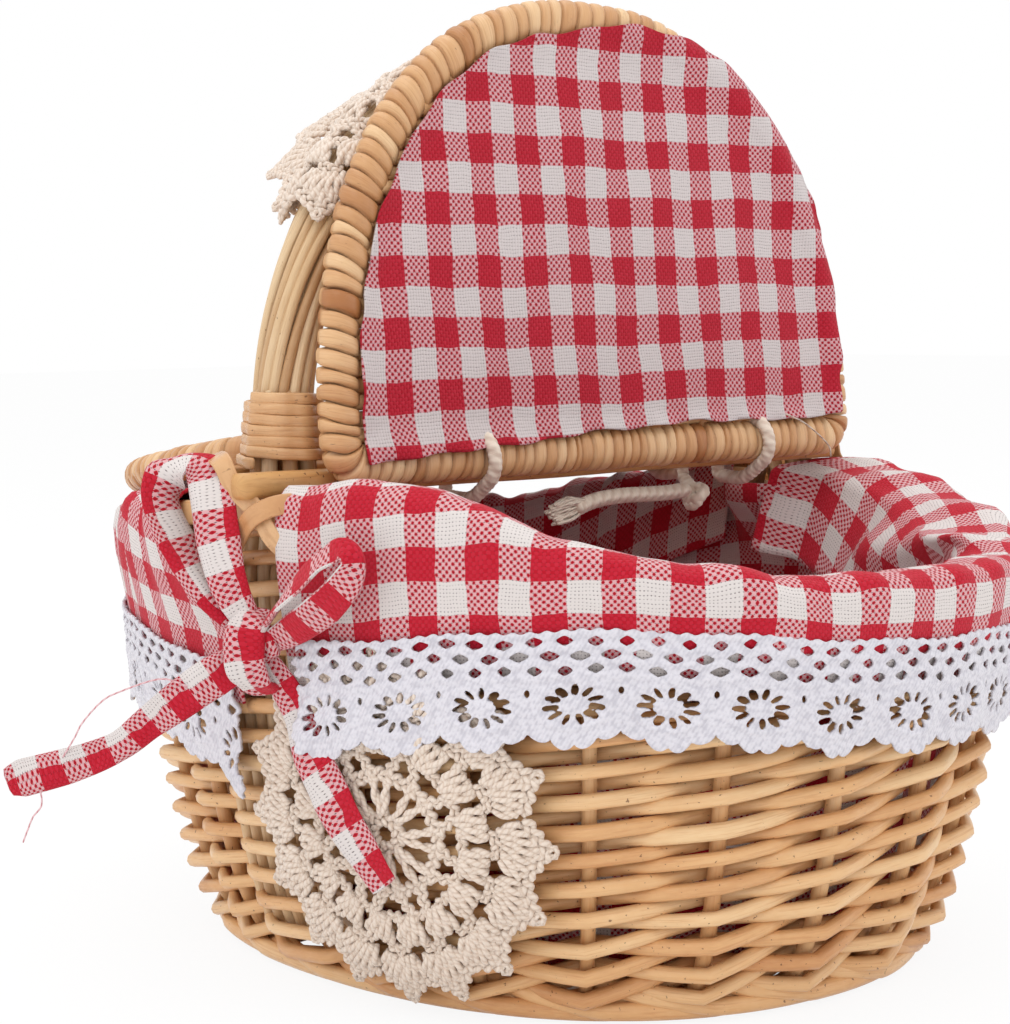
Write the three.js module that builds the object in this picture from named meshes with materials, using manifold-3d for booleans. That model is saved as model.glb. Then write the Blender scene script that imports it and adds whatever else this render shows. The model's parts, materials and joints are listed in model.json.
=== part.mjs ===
// A small oval willow picnic basket: two half-oval lids hinged on cross rods under a fixed arched
// handle, gingham lining with a collar folded over the rim, crochet lace, tie bows and doilies.
// Millimetres. X runs along the cross rods, Y to the rear lid, Z up. The origin is under the
// centre of the basket, on the surface it stands on.
import * as THREE from 'three';
import { mergeVertices } from 'three/addons/utils/BufferGeometryUtils.js';
import Module from 'manifold-3d';

const wasm = await Module();
wasm.setup();

// Driving dimensions: the oval body
const rimHalfX = 114;
const rimHalfY = 137;
const baseHalfX = 88;
const baseHalfY = 105.5;
const ovalPower = 2.2;
const bellyPower = 1.95;
const bellyHeight = 125;
const rimLow = 112;
const rimRise = 22;
const rimRisePower = 2.5;
const weaveThickness = 4;
const fitGap = 0.3;

// Driving dimensions: willow rods
const stakeDiameter = 4.3;
const stakePlaces = 22;
const footHeight = 9.5;
const footWidth = 9;
const rimBandHeight = 7;
const rimBandThickness = 2.4;
const rodPitch = 8.16;
const firstRodClimb = 3.2;
const weaveRelief = 3;

// Driving dimensions: handle
const handleSpring = 150;
const handleRise = 104;
const handlePower = 2.1;
const handleRods = 8;
const handleRodDiameter = 4.4;
const handleWallClear = 1.6;
const handleRingTop = 6.14;
const handleRingFoot = 7.7;
const handleHalfSpan = rimHalfX - weaveThickness - handleWallClear - handleRodDiameter / 2 - handleRingFoot;
const handleFanTop = 134;
const handleFanFoot = 112;
const handleRodFoot = 62;
const handleFanSpacing = 5.5;
const handleTwist = Math.PI / 2;
const handleArchSteps = 17;
const handleLegMiddle = 143;
const handleFanLevels = [0, 0.25, 0.5, 0.7, 0.78, 0.85, 0.92, 1];

// Driving dimensions: cane lashings
const lashingTurns = 6;
const lashingFoot = 145.2;
const lashingPitch = 2.65;
const lashingSlack = 0.9;
const lashingStepsPerTurn = 16;
const caneWidth = 2.1;
const caneThickness = 1.5;
const crossLashWidth = 6;
const crossLashThickness = 1.2;

// Driving dimensions: cross rods
const crossRodWidth = 7.2;
const crossRodNearEnd = 123;
const crossRodRearNearEnd = 112;
const crossRodFarEnd = 103;

// Driving dimensions: lids
const hingeY = 23;
const hingeZ = 142.5;
const rearHingeZ = 145.5;
const lidTubeRadius = 4.7;
const lidHalfWidth = 101.5;
const lidDepth = 135;
const lidPower = 2.25;
const lidCornerRadius = 6.5;
const lidPlateCornerRadius = 4;
const lidSteps = 24;
const lidPanelThickness = 6;
const lidRodPitch = 4.4;
const lidRibPitch = 19.4;
const lidRelief = 2;
const lidClothThickness = 0.9;
const lidClothInset = 1;
const openLean = 5.3;
const closedSlope = 8;
const hingeCordDiameter = 4.3;
const hingeCordPlaces = [-49, 60];

// Driving dimensions: cloth, lace and cord
const clothThickness = 1.2;
const collarLift = 4.6;
const collarReach = 4.2;
const collarThickness = 1.9;
const collarInsideDrop = 14;
const collarHalfGap = 9.6;
const collarSlack = 0.7;
const laceThickness = 1;
const strapWidth = 14;
const strapThickness = 1.4;
const doilyRadius = 47;
const doilyThickness = 1;
const handleDoilySweep = [0.5, 1.22];
const handleDoilyHang = [9, 22];
const handleDoilyWrap = (55 * Math.PI) / 180;
const knotCordDiameter = 4.3;

const willow = { color: 0xdeb278, roughness: 0.5 };
const cane = { color: 0xcd9b5f, roughness: 0.42 };
const gingham = { color: 0xd06a76, roughness: 0.9 };
const cotton = { color: 0xebebf2, roughness: 0.92 };
const ecru = { color: 0xe1d2b9, roughness: 0.95 };
const cordWhite = { color: 0xd7c8b4, roughness: 0.9 };

const degree = Math.PI / 180;
const basket = new THREE.Group();
const lerp = THREE.MathUtils.lerp;
const smooth = (value) => THREE.MathUtils.smoothstep(value, 0, 1);

// Geometry helpers
function addPiece(name, geometry, finish, parent = basket) {
  const material = new THREE.MeshStandardMaterial({ ...finish, metalness: 0 });
  const mesh = new THREE.Mesh(geometry, material);
  mesh.name = name;
  parent.add(mesh);
  return mesh;
}

function plainGeometry(positions, indices) {
  const geometry = new THREE.BufferGeometry();
  geometry.setAttribute('position', new THREE.Float32BufferAttribute(positions, 3));
  geometry.setIndex(indices);
  return geometry;
}

function signedVolume(geometry) {
  const at = geometry.getAttribute('position');
  const order = geometry.getIndex();
  const corners = [new THREE.Vector3(), new THREE.Vector3(), new THREE.Vector3()];
  let volume = 0;
  for (let i = 0; i < order.count; i += 3) {
    corners.forEach((corner, k) => corner.fromBufferAttribute(at, order.getX(i + k)));
    volume += corners[0].dot(corners[1].clone().cross(corners[2])) / 6;
  }
  return volume;
}

// A skin through rings of equally many points; an open loft gets a fan at each end.
function loft(rings, closed = false) {
  const positions = [];
  const indices = [];
  const around = rings[0].length;
  rings.forEach((ring) => ring.forEach((p) => positions.push(p.x, p.y, p.z)));
  const spans = closed ? rings.length : rings.length - 1;
  for (let i = 0; i < spans; i += 1) {
    for (let j = 0; j < around; j += 1) {
      const a = i * around + j;
      const b = i * around + ((j + 1) % around);
      const c = ((i + 1) % rings.length) * around + j;
      const d = ((i + 1) % rings.length) * around + ((j + 1) % around);
      indices.push(a, b, d, a, d, c);
    }
  }
  if (!closed) {
    const section = capOrder(rings[0]);
    const last = (rings.length - 1) * around;
    section.forEach(([a, b, c]) => {
      indices.push(a, c, b);
      indices.push(last + a, last + b, last + c);
    });
  }
  const geometry = plainGeometry(positions, indices);
  if (signedVolume(geometry) < 0) {
    for (let i = 0; i < indices.length; i += 3) {
      [indices[i + 1], indices[i + 2]] = [indices[i + 2], indices[i + 1]];
    }
    geometry.setIndex(indices);
  }
  return geometry;
}

// The triangles that close a flat ring, in its own plane.
function capOrder(ring) {
  const normal = new THREE.Vector3();
  ring.forEach((p, i) => normal.add(p.clone().cross(ring[(i + 1) % ring.length])));
  normal.normalize();
  const side = new THREE.Vector3(1, 0, 0);
  if (Math.abs(normal.x) > 0.9) side.set(0, 1, 0);
  const u = side.clone().cross(normal).normalize();
  const v = normal.clone().cross(u);
  const flat = ring.map((p) => new THREE.Vector2(p.dot(u), p.dot(v)));
  return THREE.ShapeUtils.triangulateShape(flat, []);
}

// A route whose stations are exactly the points that it is given.
class Route extends THREE.Curve {
  constructor(points) {
    super();
    this.points = points;
  }

  getPoint(share, target = new THREE.Vector3()) {
    const place = THREE.MathUtils.clamp(share, 0, 1) * (this.points.length - 1);
    const before = Math.min(Math.floor(place), this.points.length - 2);
    return target.lerpVectors(this.points[before], this.points[before + 1], place - before);
  }

  getTangent(share, target = new THREE.Vector3()) {
    const place = Math.round(share * (this.points.length - 1));
    const before = this.points[Math.max(place - 1, 0)];
    const after = this.points[Math.min(place + 1, this.points.length - 1)];
    return target.subVectors(after, before).normalize();
  }

  getUtoTmapping(share) {
    return share;
  }
}

function rod(points, diameter, sides) {
  const section = new THREE.Shape();
  for (let i = 0; i < sides; i += 1) {
    const turn = (2 * Math.PI * i) / sides;
    const x = (diameter / 2) * Math.cos(turn);
    const y = (diameter / 2) * Math.sin(turn);
    if (i === 0) section.moveTo(x, y);
    else section.lineTo(x, y);
  }
  section.closePath();
  const options = { steps: points.length - 1, extrudePath: new Route(points), bevelEnabled: false };
  return new THREE.ExtrudeGeometry(section, options);
}

// A flat strap along points, its broad face square to the given outward directions.
function strap(points, outwards, width, thickness) {
  const rings = points.map((point, i) => {
    const before = points[Math.max(i - 1, 0)];
    const after = points[Math.min(i + 1, points.length - 1)];
    const along = after.clone().sub(before).normalize();
    const out = outwards[i].clone().addScaledVector(along, -outwards[i].dot(along)).normalize();
    const across = along.clone().cross(out);
    const corners = [[-1, -1], [1, -1], [1, 1], [-1, 1]];
    return corners.map(([a, b]) => point.clone()
      .addScaledVector(across, (a * width) / 2)
      .addScaledVector(out, (b * thickness) / 2));
  });
  return loft(rings);
}

function toSolid(geometry) {
  const bare = geometry.clone();
  bare.deleteAttribute('normal');
  bare.deleteAttribute('uv');
  const merged = mergeVertices(bare, 1e-3);
  return new wasm.Manifold(new wasm.Mesh({
    numProp: 3,
    vertProperties: new Float32Array(merged.getAttribute('position').array),
    triVerts: new Uint32Array(merged.getIndex().array),
  }));
}

function fromSolid(solid) {
  const mesh = solid.getMesh();
  return plainGeometry(Array.from(mesh.vertProperties), Array.from(mesh.triVerts));
}

function joined(geometries) {
  return fromSolid(geometries.map(toSolid).reduce((sum, next) => sum.add(next)));
}

function cut(geometry, cutters) {
  return fromSolid(cutters.map(toSolid).reduce((rest, next) => rest.subtract(next), toSolid(geometry)));
}

// The wall surface: a bearing round the oval, a height, and a distance outward
function bellyShare(height) {
  const share = THREE.MathUtils.clamp(height / bellyHeight, 0, 1);
  return (1 - (1 - share) ** bellyPower) ** (1 / bellyPower);
}

function ovalPoint(bearing, halfX, halfY) {
  const c = Math.cos(bearing);
  const s = Math.sin(bearing);
  const reach = (Math.abs(c) ** ovalPower + Math.abs(s) ** ovalPower) ** (-1 / ovalPower);
  return new THREE.Vector2(halfX * reach * c, halfY * reach * s);
}

function surfacePoint(bearing, height) {
  const share = bellyShare(height);
  const plan = ovalPoint(bearing, lerp(baseHalfX, rimHalfX, share), lerp(baseHalfY, rimHalfY, share));
  return new THREE.Vector3(plan.x, plan.y, height);
}

function surfaceNormal(bearing, height) {
  const step = 0.5;
  const low = Math.max(height - step, 0.5);
  const around = surfacePoint(bearing + 0.01, height).sub(surfacePoint(bearing - 0.01, height));
  const up = surfacePoint(bearing, low + 2 * step).sub(surfacePoint(bearing, low));
  return around.cross(up).normalize();
}

function wallPoint(bearing, height, outward) {
  return surfacePoint(bearing, height).addScaledVector(surfaceNormal(bearing, height), outward);
}

function rimHeight(bearing) {
  return rimLow + rimRise * Math.abs(Math.cos(bearing)) ** rimRisePower;
}

// Bearings that lie equal steps apart along the rim
function evenBearings(count) {
  const fine = 1440;
  const bearings = [];
  let length = 0;
  const lengths = [0];
  for (let i = 1; i <= fine; i += 1) {
    const a = ovalPoint((2 * Math.PI * (i - 1)) / fine, rimHalfX, rimHalfY);
    const b = ovalPoint((2 * Math.PI * i) / fine, rimHalfX, rimHalfY);
    length += a.distanceTo(b);
    lengths.push(length);
  }
  for (let k = 0; k < count; k += 1) {
    const wanted = (length * k) / count;
    const after = lengths.findIndex((value) => value > wanted);
    const share = (wanted - lengths[after - 1]) / (lengths[after] - lengths[after - 1]);
    bearings.push((2 * Math.PI * (after - 1 + share)) / fine);
  }
  return bearings;
}

const stations = evenBearings(44);

// Base: a woven mat inside the foot border, the two flush where the basket stands on them
function footBorder() {
  const rings = stations.map((bearing) => {
    const outline = ovalPoint(bearing, baseHalfX, baseHalfY);
    const inward = outline.clone().normalize().multiplyScalar(-footWidth);
    const inner = outline.clone().add(inward);
    return [
      new THREE.Vector3(outline.x, outline.y, 0),
      surfacePoint(bearing, footHeight / 2),
      surfacePoint(bearing, footHeight),
      new THREE.Vector3(inner.x, inner.y, footHeight),
      new THREE.Vector3(inner.x, inner.y, 0),
    ];
  });
  return loft(rings, true);
}

function baseMat() {
  const inset = footWidth + fitGap + 0.4;
  const ring = (height) => stations.map((bearing) => {
    const outline = ovalPoint(bearing, baseHalfX, baseHalfY);
    const point = outline.clone().sub(outline.clone().normalize().multiplyScalar(inset));
    return new THREE.Vector3(point.x, point.y, height);
  });
  return loft([ring(0), ring(footHeight)]);
}

addPiece('foot_border', footBorder(), willow);
addPiece('base_mat', baseMat(), willow);

// Side: the woven wall, the stakes that it is woven on, and the split-rod band round the rim
const wallFoot = footHeight + fitGap;
const stakeDepth = -(weaveThickness + fitGap + stakeDiameter / 2);
const bandFoot = (bearing) => rimHeight(bearing) - rimBandHeight;

// Heights half a rod pitch apart, measured along the slope of the wall
function rodHeights() {
  const step = 0.1;
  const leastFirstRow = 1.5;
  const overhang = (rimHalfX - baseHalfX + rimHalfY - baseHalfY) / 2;
  const heights = [];
  let climbed = -firstRodClimb;
  let count = 0;
  for (let z = step; z < rimLow - rimBandHeight; z += step) {
    climbed += Math.hypot(step, overhang * (bellyShare(z) - bellyShare(z - step)));
    if (climbed < (count * rodPitch) / 2) continue;
    if (z > wallFoot + leastFirstRow) heights.push({ z, crest: count % 2 === 0 });
    count += 1;
  }
  return heights;
}

// A rod passes in front of each stake at every pitch and sinks behind the next one
function sideWeave() {
  const rows = rodHeights();
  const last = rows[rows.length - 1].z;
  const insideLevels = [0, 0.08, 0.2, 0.36, 0.56, 0.78, 1];
  const rings = stations.map((bearing, station) => {
    const atStake = station % 2 === 0;
    const top = rimHeight(bearing);
    const outside = rows.map(({ z, crest }) => wallPoint(bearing, z, atStake && crest ? 0 : -weaveRelief));
    const inside = insideLevels.map((level) => wallPoint(bearing, lerp(wallFoot, top, level), -weaveThickness));
    return [
      wallPoint(bearing, wallFoot, 0),
      ...outside,
      wallPoint(bearing, lerp(last, top, 0.5), atStake ? 0 : -weaveRelief),
      wallPoint(bearing, top, 0),
      ...inside.reverse(),
    ];
  });
  return loft(rings, true);
}

function stakePath(bearing) {
  const levels = [0, 0.14, 0.32, 0.6, 1];
  const top = rimHeight(bearing) - 2;
  const foot = wallFoot + 1;
  return levels.map((level) => wallPoint(bearing, lerp(foot, top, level), stakeDepth));
}

function rimBand() {
  const near = fitGap;
  const far = fitGap + rimBandThickness;
  const rings = stations.map((bearing) => [
    wallPoint(bearing, bandFoot(bearing), near),
    wallPoint(bearing, bandFoot(bearing), far),
    wallPoint(bearing, rimHeight(bearing), far),
    wallPoint(bearing, rimHeight(bearing), near),
  ]);
  return loft(rings, true);
}

addPiece('side_weave', sideWeave(), willow);
addPiece('rim_band', rimBand(), willow);
let stakeNumber = 0;
evenBearings(stakePlaces).forEach((bearing, place) => {
  const atHandle = place % (stakePlaces / 2) === 0;
  if (atHandle) return;
  stakeNumber += 1;
  const name = `stake_${String(stakeNumber).padStart(2, '0')}`;
  addPiece(name, rod(stakePath(bearing), stakeDiameter, 6), willow);
});

// Handle: a ring of rods over the arch, that opens below the lashing into a flat fan in the wall
function archPoint(sweep) {
  const c = -Math.cos(sweep);
  const s = Math.sin(sweep);
  const reach = (Math.abs(c) ** handlePower + s ** handlePower) ** (-1 / handlePower);
  return new THREE.Vector3(handleHalfSpan * reach * c, 0, handleSpring + handleRise * reach * s);
}

function archOutward(sweep) {
  return new THREE.Vector3(-Math.cos(sweep) * handleRise, 0, Math.sin(sweep) * handleHalfSpan).normalize();
}

const fanDepth = -(weaveThickness + fitGap + 0.3 + handleRodDiameter / 2);
const handleRodRing = (height) => {
  const share = THREE.MathUtils.clamp((height - handleFanTop) / (handleSpring + 10 - handleFanTop), 0, 1);
  return lerp(handleRingFoot, handleRingTop, share);
};

function legPoint(side, turn, height) {
  const ring = handleRodRing(height);
  const centre = new THREE.Vector3(side * handleHalfSpan, 0, height);
  return centre.add(new THREE.Vector3(side * ring * Math.cos(turn), ring * Math.sin(turn), 0));
}

function fanPoint(side, turn, height) {
  const closing = smooth((height - handleFanFoot) / (handleFanTop - handleFanFoot));
  const ringSpacing = (2 * Math.PI * handleRingFoot) / handleRods;
  const spacing = lerp(handleFanSpacing, ringSpacing, closing);
  const along = (turn / (2 * Math.PI)) * handleRods * spacing;
  const bend = closing / handleRingFoot;
  const y = bend > 1e-4 ? Math.sin(along * bend) / bend : along;
  const back = bend > 1e-4 ? (1 - Math.cos(along * bend)) / bend : 0;
  const flat = wallPoint(Math.asin(y / rimHalfY), height, fanDepth);
  const outer = lerp(flat.x, handleHalfSpan + handleRingFoot, closing);
  return new THREE.Vector3(side * (outer - back), y, lerp(flat.z, height, closing));
}

function handleRodPath(index) {
  const nearTurn = (2 * Math.PI * (index + 0.5 - handleRods / 2)) / handleRods;
  const farTurn = THREE.MathUtils.euclideanModulo(nearTurn + handleTwist + Math.PI, 2 * Math.PI) - Math.PI;
  const fanHeights = handleFanLevels.map((level) => lerp(handleRodFoot, handleFanTop, level));
  const near = fanHeights.map((height) => fanPoint(-1, nearTurn, height));
  const far = fanHeights.map((height) => fanPoint(1, farTurn, height)).reverse();
  near.push(legPoint(-1, nearTurn, handleLegMiddle));
  far.unshift(legPoint(1, farTurn, handleLegMiddle));
  const arch = [];
  for (let i = 0; i <= handleArchSteps; i += 1) {
    const sweep = Math.PI * (i / handleArchSteps);
    const centre = archPoint(sweep);
    const turn = nearTurn + handleTwist * (i / handleArchSteps);
    const ring = handleRodRing(centre.z);
    centre.addScaledVector(archOutward(sweep), ring * Math.cos(turn));
    centre.y += ring * Math.sin(turn);
    arch.push(centre);
  }
  return [...near, ...arch, ...far];
}

for (let i = 0; i < handleRods; i += 1) {
  addPiece(`handle_rod_${i + 1}`, rod(handleRodPath(i), handleRodDiameter, 5), willow);
}

// Lashings: six turns of flat cane, wider at the foot where the rods spread
function lashingPath(side) {
  const points = [];
  for (let i = 0; i <= lashingTurns * lashingStepsPerTurn; i += 1) {
    const turn = (2 * Math.PI * i) / lashingStepsPerTurn;
    const height = lashingFoot + caneWidth / 2 + (lashingPitch * i) / lashingStepsPerTurn;
    const ring = handleRodRing(height) + handleRodDiameter / 2 + lashingSlack + caneThickness / 2;
    const x = side * (handleHalfSpan - archInset(height) + ring * Math.cos(turn));
    points.push(new THREE.Vector3(x, ring * Math.sin(turn), height));
  }
  return points;
}

function archInset(height) {
  if (height < handleSpring) return 0;
  const up = (height - handleSpring) / handleRise;
  return handleHalfSpan * (1 - (1 - up ** handlePower) ** (1 / handlePower));
}

function lashing(side) {
  const path = lashingPath(side);
  const profile = [[-1, -0.6], [0, -1], [1, -0.6], [1, 0.6], [0, 1], [-1, 0.6]];
  const rings = path.map((point) => {
    const out = new THREE.Vector3(point.x - side * handleHalfSpan, point.y, 0).normalize();
    return profile.map(([a, b]) => point.clone()
      .addScaledVector(out, (a * caneThickness) / 2)
      .add(new THREE.Vector3(0, 0, (b * caneWidth) / 2)));
  });
  return { geometry: loft(rings), least: leastGap(rings) };
}

// The least distance between points of a winding that lie more than half a turn apart
function leastGap(rings) {
  const apart = Math.floor(lashingStepsPerTurn / 2);
  let least = Infinity;
  rings.forEach((ring, i) => rings.slice(i + apart).forEach((other) => {
    ring.forEach((p) => other.forEach((q) => {
      least = Math.min(least, p.distanceTo(q));
    }));
  }));
  return least;
}

for (const [name, side] of [['handle_lashing_near', -1], ['handle_lashing_far', 1]]) {
  const wound = lashing(side);
  console.log(name, 'least gap between turns', wound.least.toFixed(2));
  addPiece(name, wound.geometry, cane);
}

// Cross rods: two split rods that pass either side of the handle legs and carry the lids
const crossRodTop = hingeZ;
const crossRodFoot = rimLow + rimRise + fitGap;
const crossRodHeight = crossRodTop - crossRodFoot;
const crossRodOuter = hingeY - lidTubeRadius - fitGap - 0.1;
const crossRodCentre = crossRodOuter - crossRodWidth / 2;

function crossRod(sideY, nearEnd) {
  const outline = new THREE.Shape();
  const half = crossRodWidth / 2;
  const bevel = 1.6;
  outline.moveTo(-half, 0);
  outline.lineTo(half, 0);
  outline.lineTo(half, crossRodHeight - bevel * 1.5);
  outline.lineTo(half - bevel, crossRodHeight);
  outline.lineTo(-half + bevel, crossRodHeight);
  outline.lineTo(-half, crossRodHeight - bevel * 1.5);
  outline.closePath();
  const options = { depth: nearEnd + crossRodFarEnd, bevelEnabled: false };
  const geometry = new THREE.ExtrudeGeometry(outline, options);
  geometry.rotateX(Math.PI / 2);
  geometry.rotateZ(Math.PI / 2);
  geometry.translate(-nearEnd, sideY * crossRodCentre, crossRodFoot);
  return geometry;
}

addPiece('cross_rod_front', crossRod(-1, crossRodNearEnd), willow);
addPiece('cross_rod_rear', crossRod(1, crossRodRearNearEnd), willow);

// Cross lashings: two crossed cane strips that bind the cross rods and the handle leg to the rim
function sidePoint(side, y, height, outward) {
  const bearing = side > 0 ? y / rimHalfY : Math.PI - y / rimHalfY;
  return wallPoint(bearing, height, outward);
}

function crossLashing(side) {
  const overBand = fitGap + rimBandThickness + 2 * fitGap + crossLashThickness / 2;
  const onWeave = fitGap + crossLashThickness / 2;
  const bandTop = rimLow + rimRise;
  const bandFootHere = bandTop - rimBandHeight;
  const straps = [1, -1].map((lean) => {
    const route = [
      [8.5, bandTop - 2, overBand],
      [4, bandFootHere + 1, overBand],
      [0, bandFootHere - 4, overBand - 0.6],
      [-6, bandFootHere - 9, onWeave + 0.8],
      [-13, bandFootHere - 14, onWeave],
    ];
    const points = route.map(([y, z, out]) => sidePoint(side, lean * y, z, out));
    const outwards = points.map(() => new THREE.Vector3(side, 0, 0));
    return strap(points, outwards, crossLashWidth, crossLashThickness);
  });
  return joined(straps);
}

addPiece('cross_lashing_near', crossLashing(-1), cane);
addPiece('cross_lashing_far', crossLashing(1), cane);

// Lining: a cloth bag inside the stakes, cut lower where the handle legs come through
const liningOut = stakeDepth - stakeDiameter / 2 - 0.4;
const liningFloor = footHeight + 0.4;
const collarInnerFoot = (bearing) => rimHeight(bearing) - collarInsideDrop;

function liningTop(bearing) {
  const y = surfacePoint(bearing, bellyHeight).y;
  const full = collarInnerFoot(bearing) - 1;
  return Math.abs(y) < 30 ? handleFanFoot - 4 : full;
}

function liningBag() {
  const levels = [0.04, 0.18, 0.4, 0.7, 1];
  const skin = (out, floor) => {
    const foot = stations.map((bearing) => {
      const first = wallPoint(bearing, wallFoot, out);
      return new THREE.Vector3(first.x * 0.97, first.y * 0.97, floor);
    });
    const rings = levels.map((level) => stations.map((bearing) => {
      return wallPoint(bearing, lerp(wallFoot, liningTop(bearing), level), out);
    }));
    return [foot, ...rings];
  };
  const outside = skin(liningOut, liningFloor);
  const inside = skin(liningOut - clothThickness, liningFloor + clothThickness);
  return loft([...outside, ...inside.reverse()]);
}

addPiece('lining_bag', liningBag(), gingham);

// Collar: the lining's top, folded out over the rim in two halves that part at the handles
const laceTopHeight = 99;
const laceHeight = 29;
const lacePeakRise = 8;
const lacePeakBearing = -132 * degree;
const lacePeakSpread = 30 * degree;
const laceSag = 8;
const laceSagSpread = 25 * degree;
const laceOverlap = 9;

function laceTop(bearing) {
  const peak = ((bearing - lacePeakBearing) / lacePeakSpread) ** 2;
  const sag = ((bearing - Math.PI) / laceSagSpread) ** 2;
  return laceTopHeight + lacePeakRise * Math.exp(-peak) - laceSag * Math.exp(-sag);
}

const collarFoot = (bearing) => laceTop(bearing) - laceOverlap;
const collarUnder = fitGap + rimBandThickness + collarSlack;
const collarFold = (bearing) => 0.9 * Math.cos(bearing * 17) + 0.5 * Math.cos(bearing * 29 + 1);

function collarSection(bearing) {
  const foot = collarFoot(bearing);
  const rim = rimHeight(bearing);
  const innerFoot = collarInnerFoot(bearing);
  const fold = collarFold(bearing);
  const innerOut = liningOut + 0.1;
  const belly = collarUnder + collarThickness + fold;
  const section = [
    [2.2, foot],
    [2.2, rim - rimBandHeight - 4],
    [collarUnder, rim - rimBandHeight - 0.5],
    [collarUnder, rim + 0.6],
    [innerOut, rim + 0.6],
    [innerOut, innerFoot],
    [innerOut - 2.4, innerFoot],
    [innerOut - 3 - fold, rim - 4],
    [-7, rim + collarLift - 0.6],
    [0, rim + collarLift],
    [collarReach + 1.2, rim + 1.6],
    [belly, lerp(foot, rim, 0.62)],
    [4, foot + laceOverlap],
    [3.4, foot],
  ];
  return section.map(([out, z]) => {
    const base = wallPoint(bearing, bellyHeight, out);
    return new THREE.Vector3(base.x, base.y, z).add(bellyOffset(bearing, z, out));
  });
}

// Below the belly height the wall leans in, and the cloth on it follows
function bellyOffset(bearing, height, outward) {
  const here = wallPoint(bearing, Math.min(height, bellyHeight), outward);
  const above = wallPoint(bearing, bellyHeight, outward);
  return new THREE.Vector3(here.x - above.x, here.y - above.y, 0);
}

function bearingRange(from, to, count) {
  return Array.from({ length: count + 1 }, (_, i) => lerp(from, to, i / count));
}

const nearGap = collarHalfGap * degree;
const frontBearings = bearingRange(-Math.PI + nearGap, -nearGap, 26);
const rearBearings = bearingRange(nearGap, Math.PI - nearGap, 26);
addPiece('collar_front', loft(frontBearings.map(collarSection)), gingham);
addPiece('collar_rear', loft(rearBearings.map(collarSection)), gingham);

// Lace: a band sewn to each collar half, hanging down over the weave
const laceOut = { top: 5.2, hem: 4.6, foot: 4.2 };

function laceSection(bearing) {
  const top = laceTop(bearing);
  const foot = top - laceHeight;
  const line = [
    [laceOut.foot, foot],
    [laceOut.foot, foot + 9],
    [laceOut.hem, top - laceOverlap],
    [laceOut.top, top],
  ];
  const outer = line.map(([out, z]) => [out + laceThickness, z]).reverse();
  return [...line, ...outer].map(([out, z]) => {
    const base = wallPoint(bearing, bellyHeight, out);
    return new THREE.Vector3(base.x, base.y, z).add(bellyOffset(bearing, z, out));
  });
}

const laceFrontBearings = bearingRange(-Math.PI + nearGap + 0.03, -nearGap - 0.03, 24);
const laceRearBearings = bearingRange(nearGap + 0.03, Math.PI - nearGap - 0.03, 24);
addPiece('lace_front', loft(laceFrontBearings.map(laceSection)), cotton);
addPiece('lace_rear', loft(laceRearBearings.map(laceSection)), cotton);

// Tie bows: a knot, two loops and two strap ends of gingham at each handle
function bowPoint(side, y, z, outward) {
  const base = surfacePoint(side > 0 ? y / rimHalfY : Math.PI - y / rimHalfY, Math.min(z, bellyHeight));
  return new THREE.Vector3(base.x + side * outward, base.y, z);
}

function bowStrap(side, route, width) {
  const points = route.map(([y, z, out]) => bowPoint(side, y, z, out));
  const outwards = points.map(() => new THREE.Vector3(side, 0, 0));
  return strap(points, outwards, width, strapThickness);
}

function bow(side, knotY, freeEnd) {
  const knotZ = 96;
  const lean = Math.sign(knotY);
  const knot = new THREE.SphereGeometry(1, 10, 6);
  knot.scale(4.5, 7, 8);
  const middle = bowPoint(side, knotY, knotZ, 9.5);
  knot.translate(middle.x, middle.y, middle.z);
  const loopWide = strapWidth;
  const backLoop = [[0, 0, 9], [-12, 14, 12], [-22, 31, 13.5], [-28, 44, 13]];
  const frontLoop = [[0, 0, 9], [13, 7, 13], [26, 17, 15], [36, 26, 14]];
  const loops = [backLoop, frontLoop].map((loop) => {
    const route = loop.map(([y, z, out]) => [knotY + lean * y, knotZ + z, out]);
    return strapLoop(side, route, loopWide);
  });
  const hanging = [
    [knotY, knotZ - 2, 7],
    [knotY + lean * 1, knotZ - 14, 2.9],
    [knotY + lean * 8, knotZ - 24, 2.9],
    [knotY + lean * 17, knotZ - 35, 3.0],
    [knotY + lean * 27, knotZ - 48, 3.1],
    [knotY + lean * 34, knotZ - 58, 3.1],
  ];
  const pieces = [knot, ...loops, bowStrap(side, hanging, 8)];
  pieces.push(strap(freeEnd.points, freeEnd.outwards, 9, strapThickness));
  return joined(pieces);
}

// A flattened loop: the strap goes out and comes back as one thick leaf with a round end
function strapLoop(side, route, width) {
  const points = route.map(([y, z, out]) => bowPoint(side, y, z, out));
  const rings = points.map((point, i) => {
    const before = points[Math.max(i - 1, 0)];
    const after = points[Math.min(i + 1, points.length - 1)];
    const along = after.clone().sub(before).normalize();
    const out = new THREE.Vector3(side, 0, 0);
    out.addScaledVector(along, -out.dot(along)).normalize();
    const across = along.clone().cross(out);
    const size = [0.45, 0.95, 1.1, 0.6][i];
    const profile = [[-1, -0.3], [0, -1], [1, -0.3], [1, 0.3], [0, 1], [-1, 0.3]];
    return profile.map(([a, b]) => point.clone()
      .addScaledVector(across, (a * width * size) / 2)
      .addScaledVector(out, b * 4 * size));
  });
  return loft(rings);
}

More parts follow.
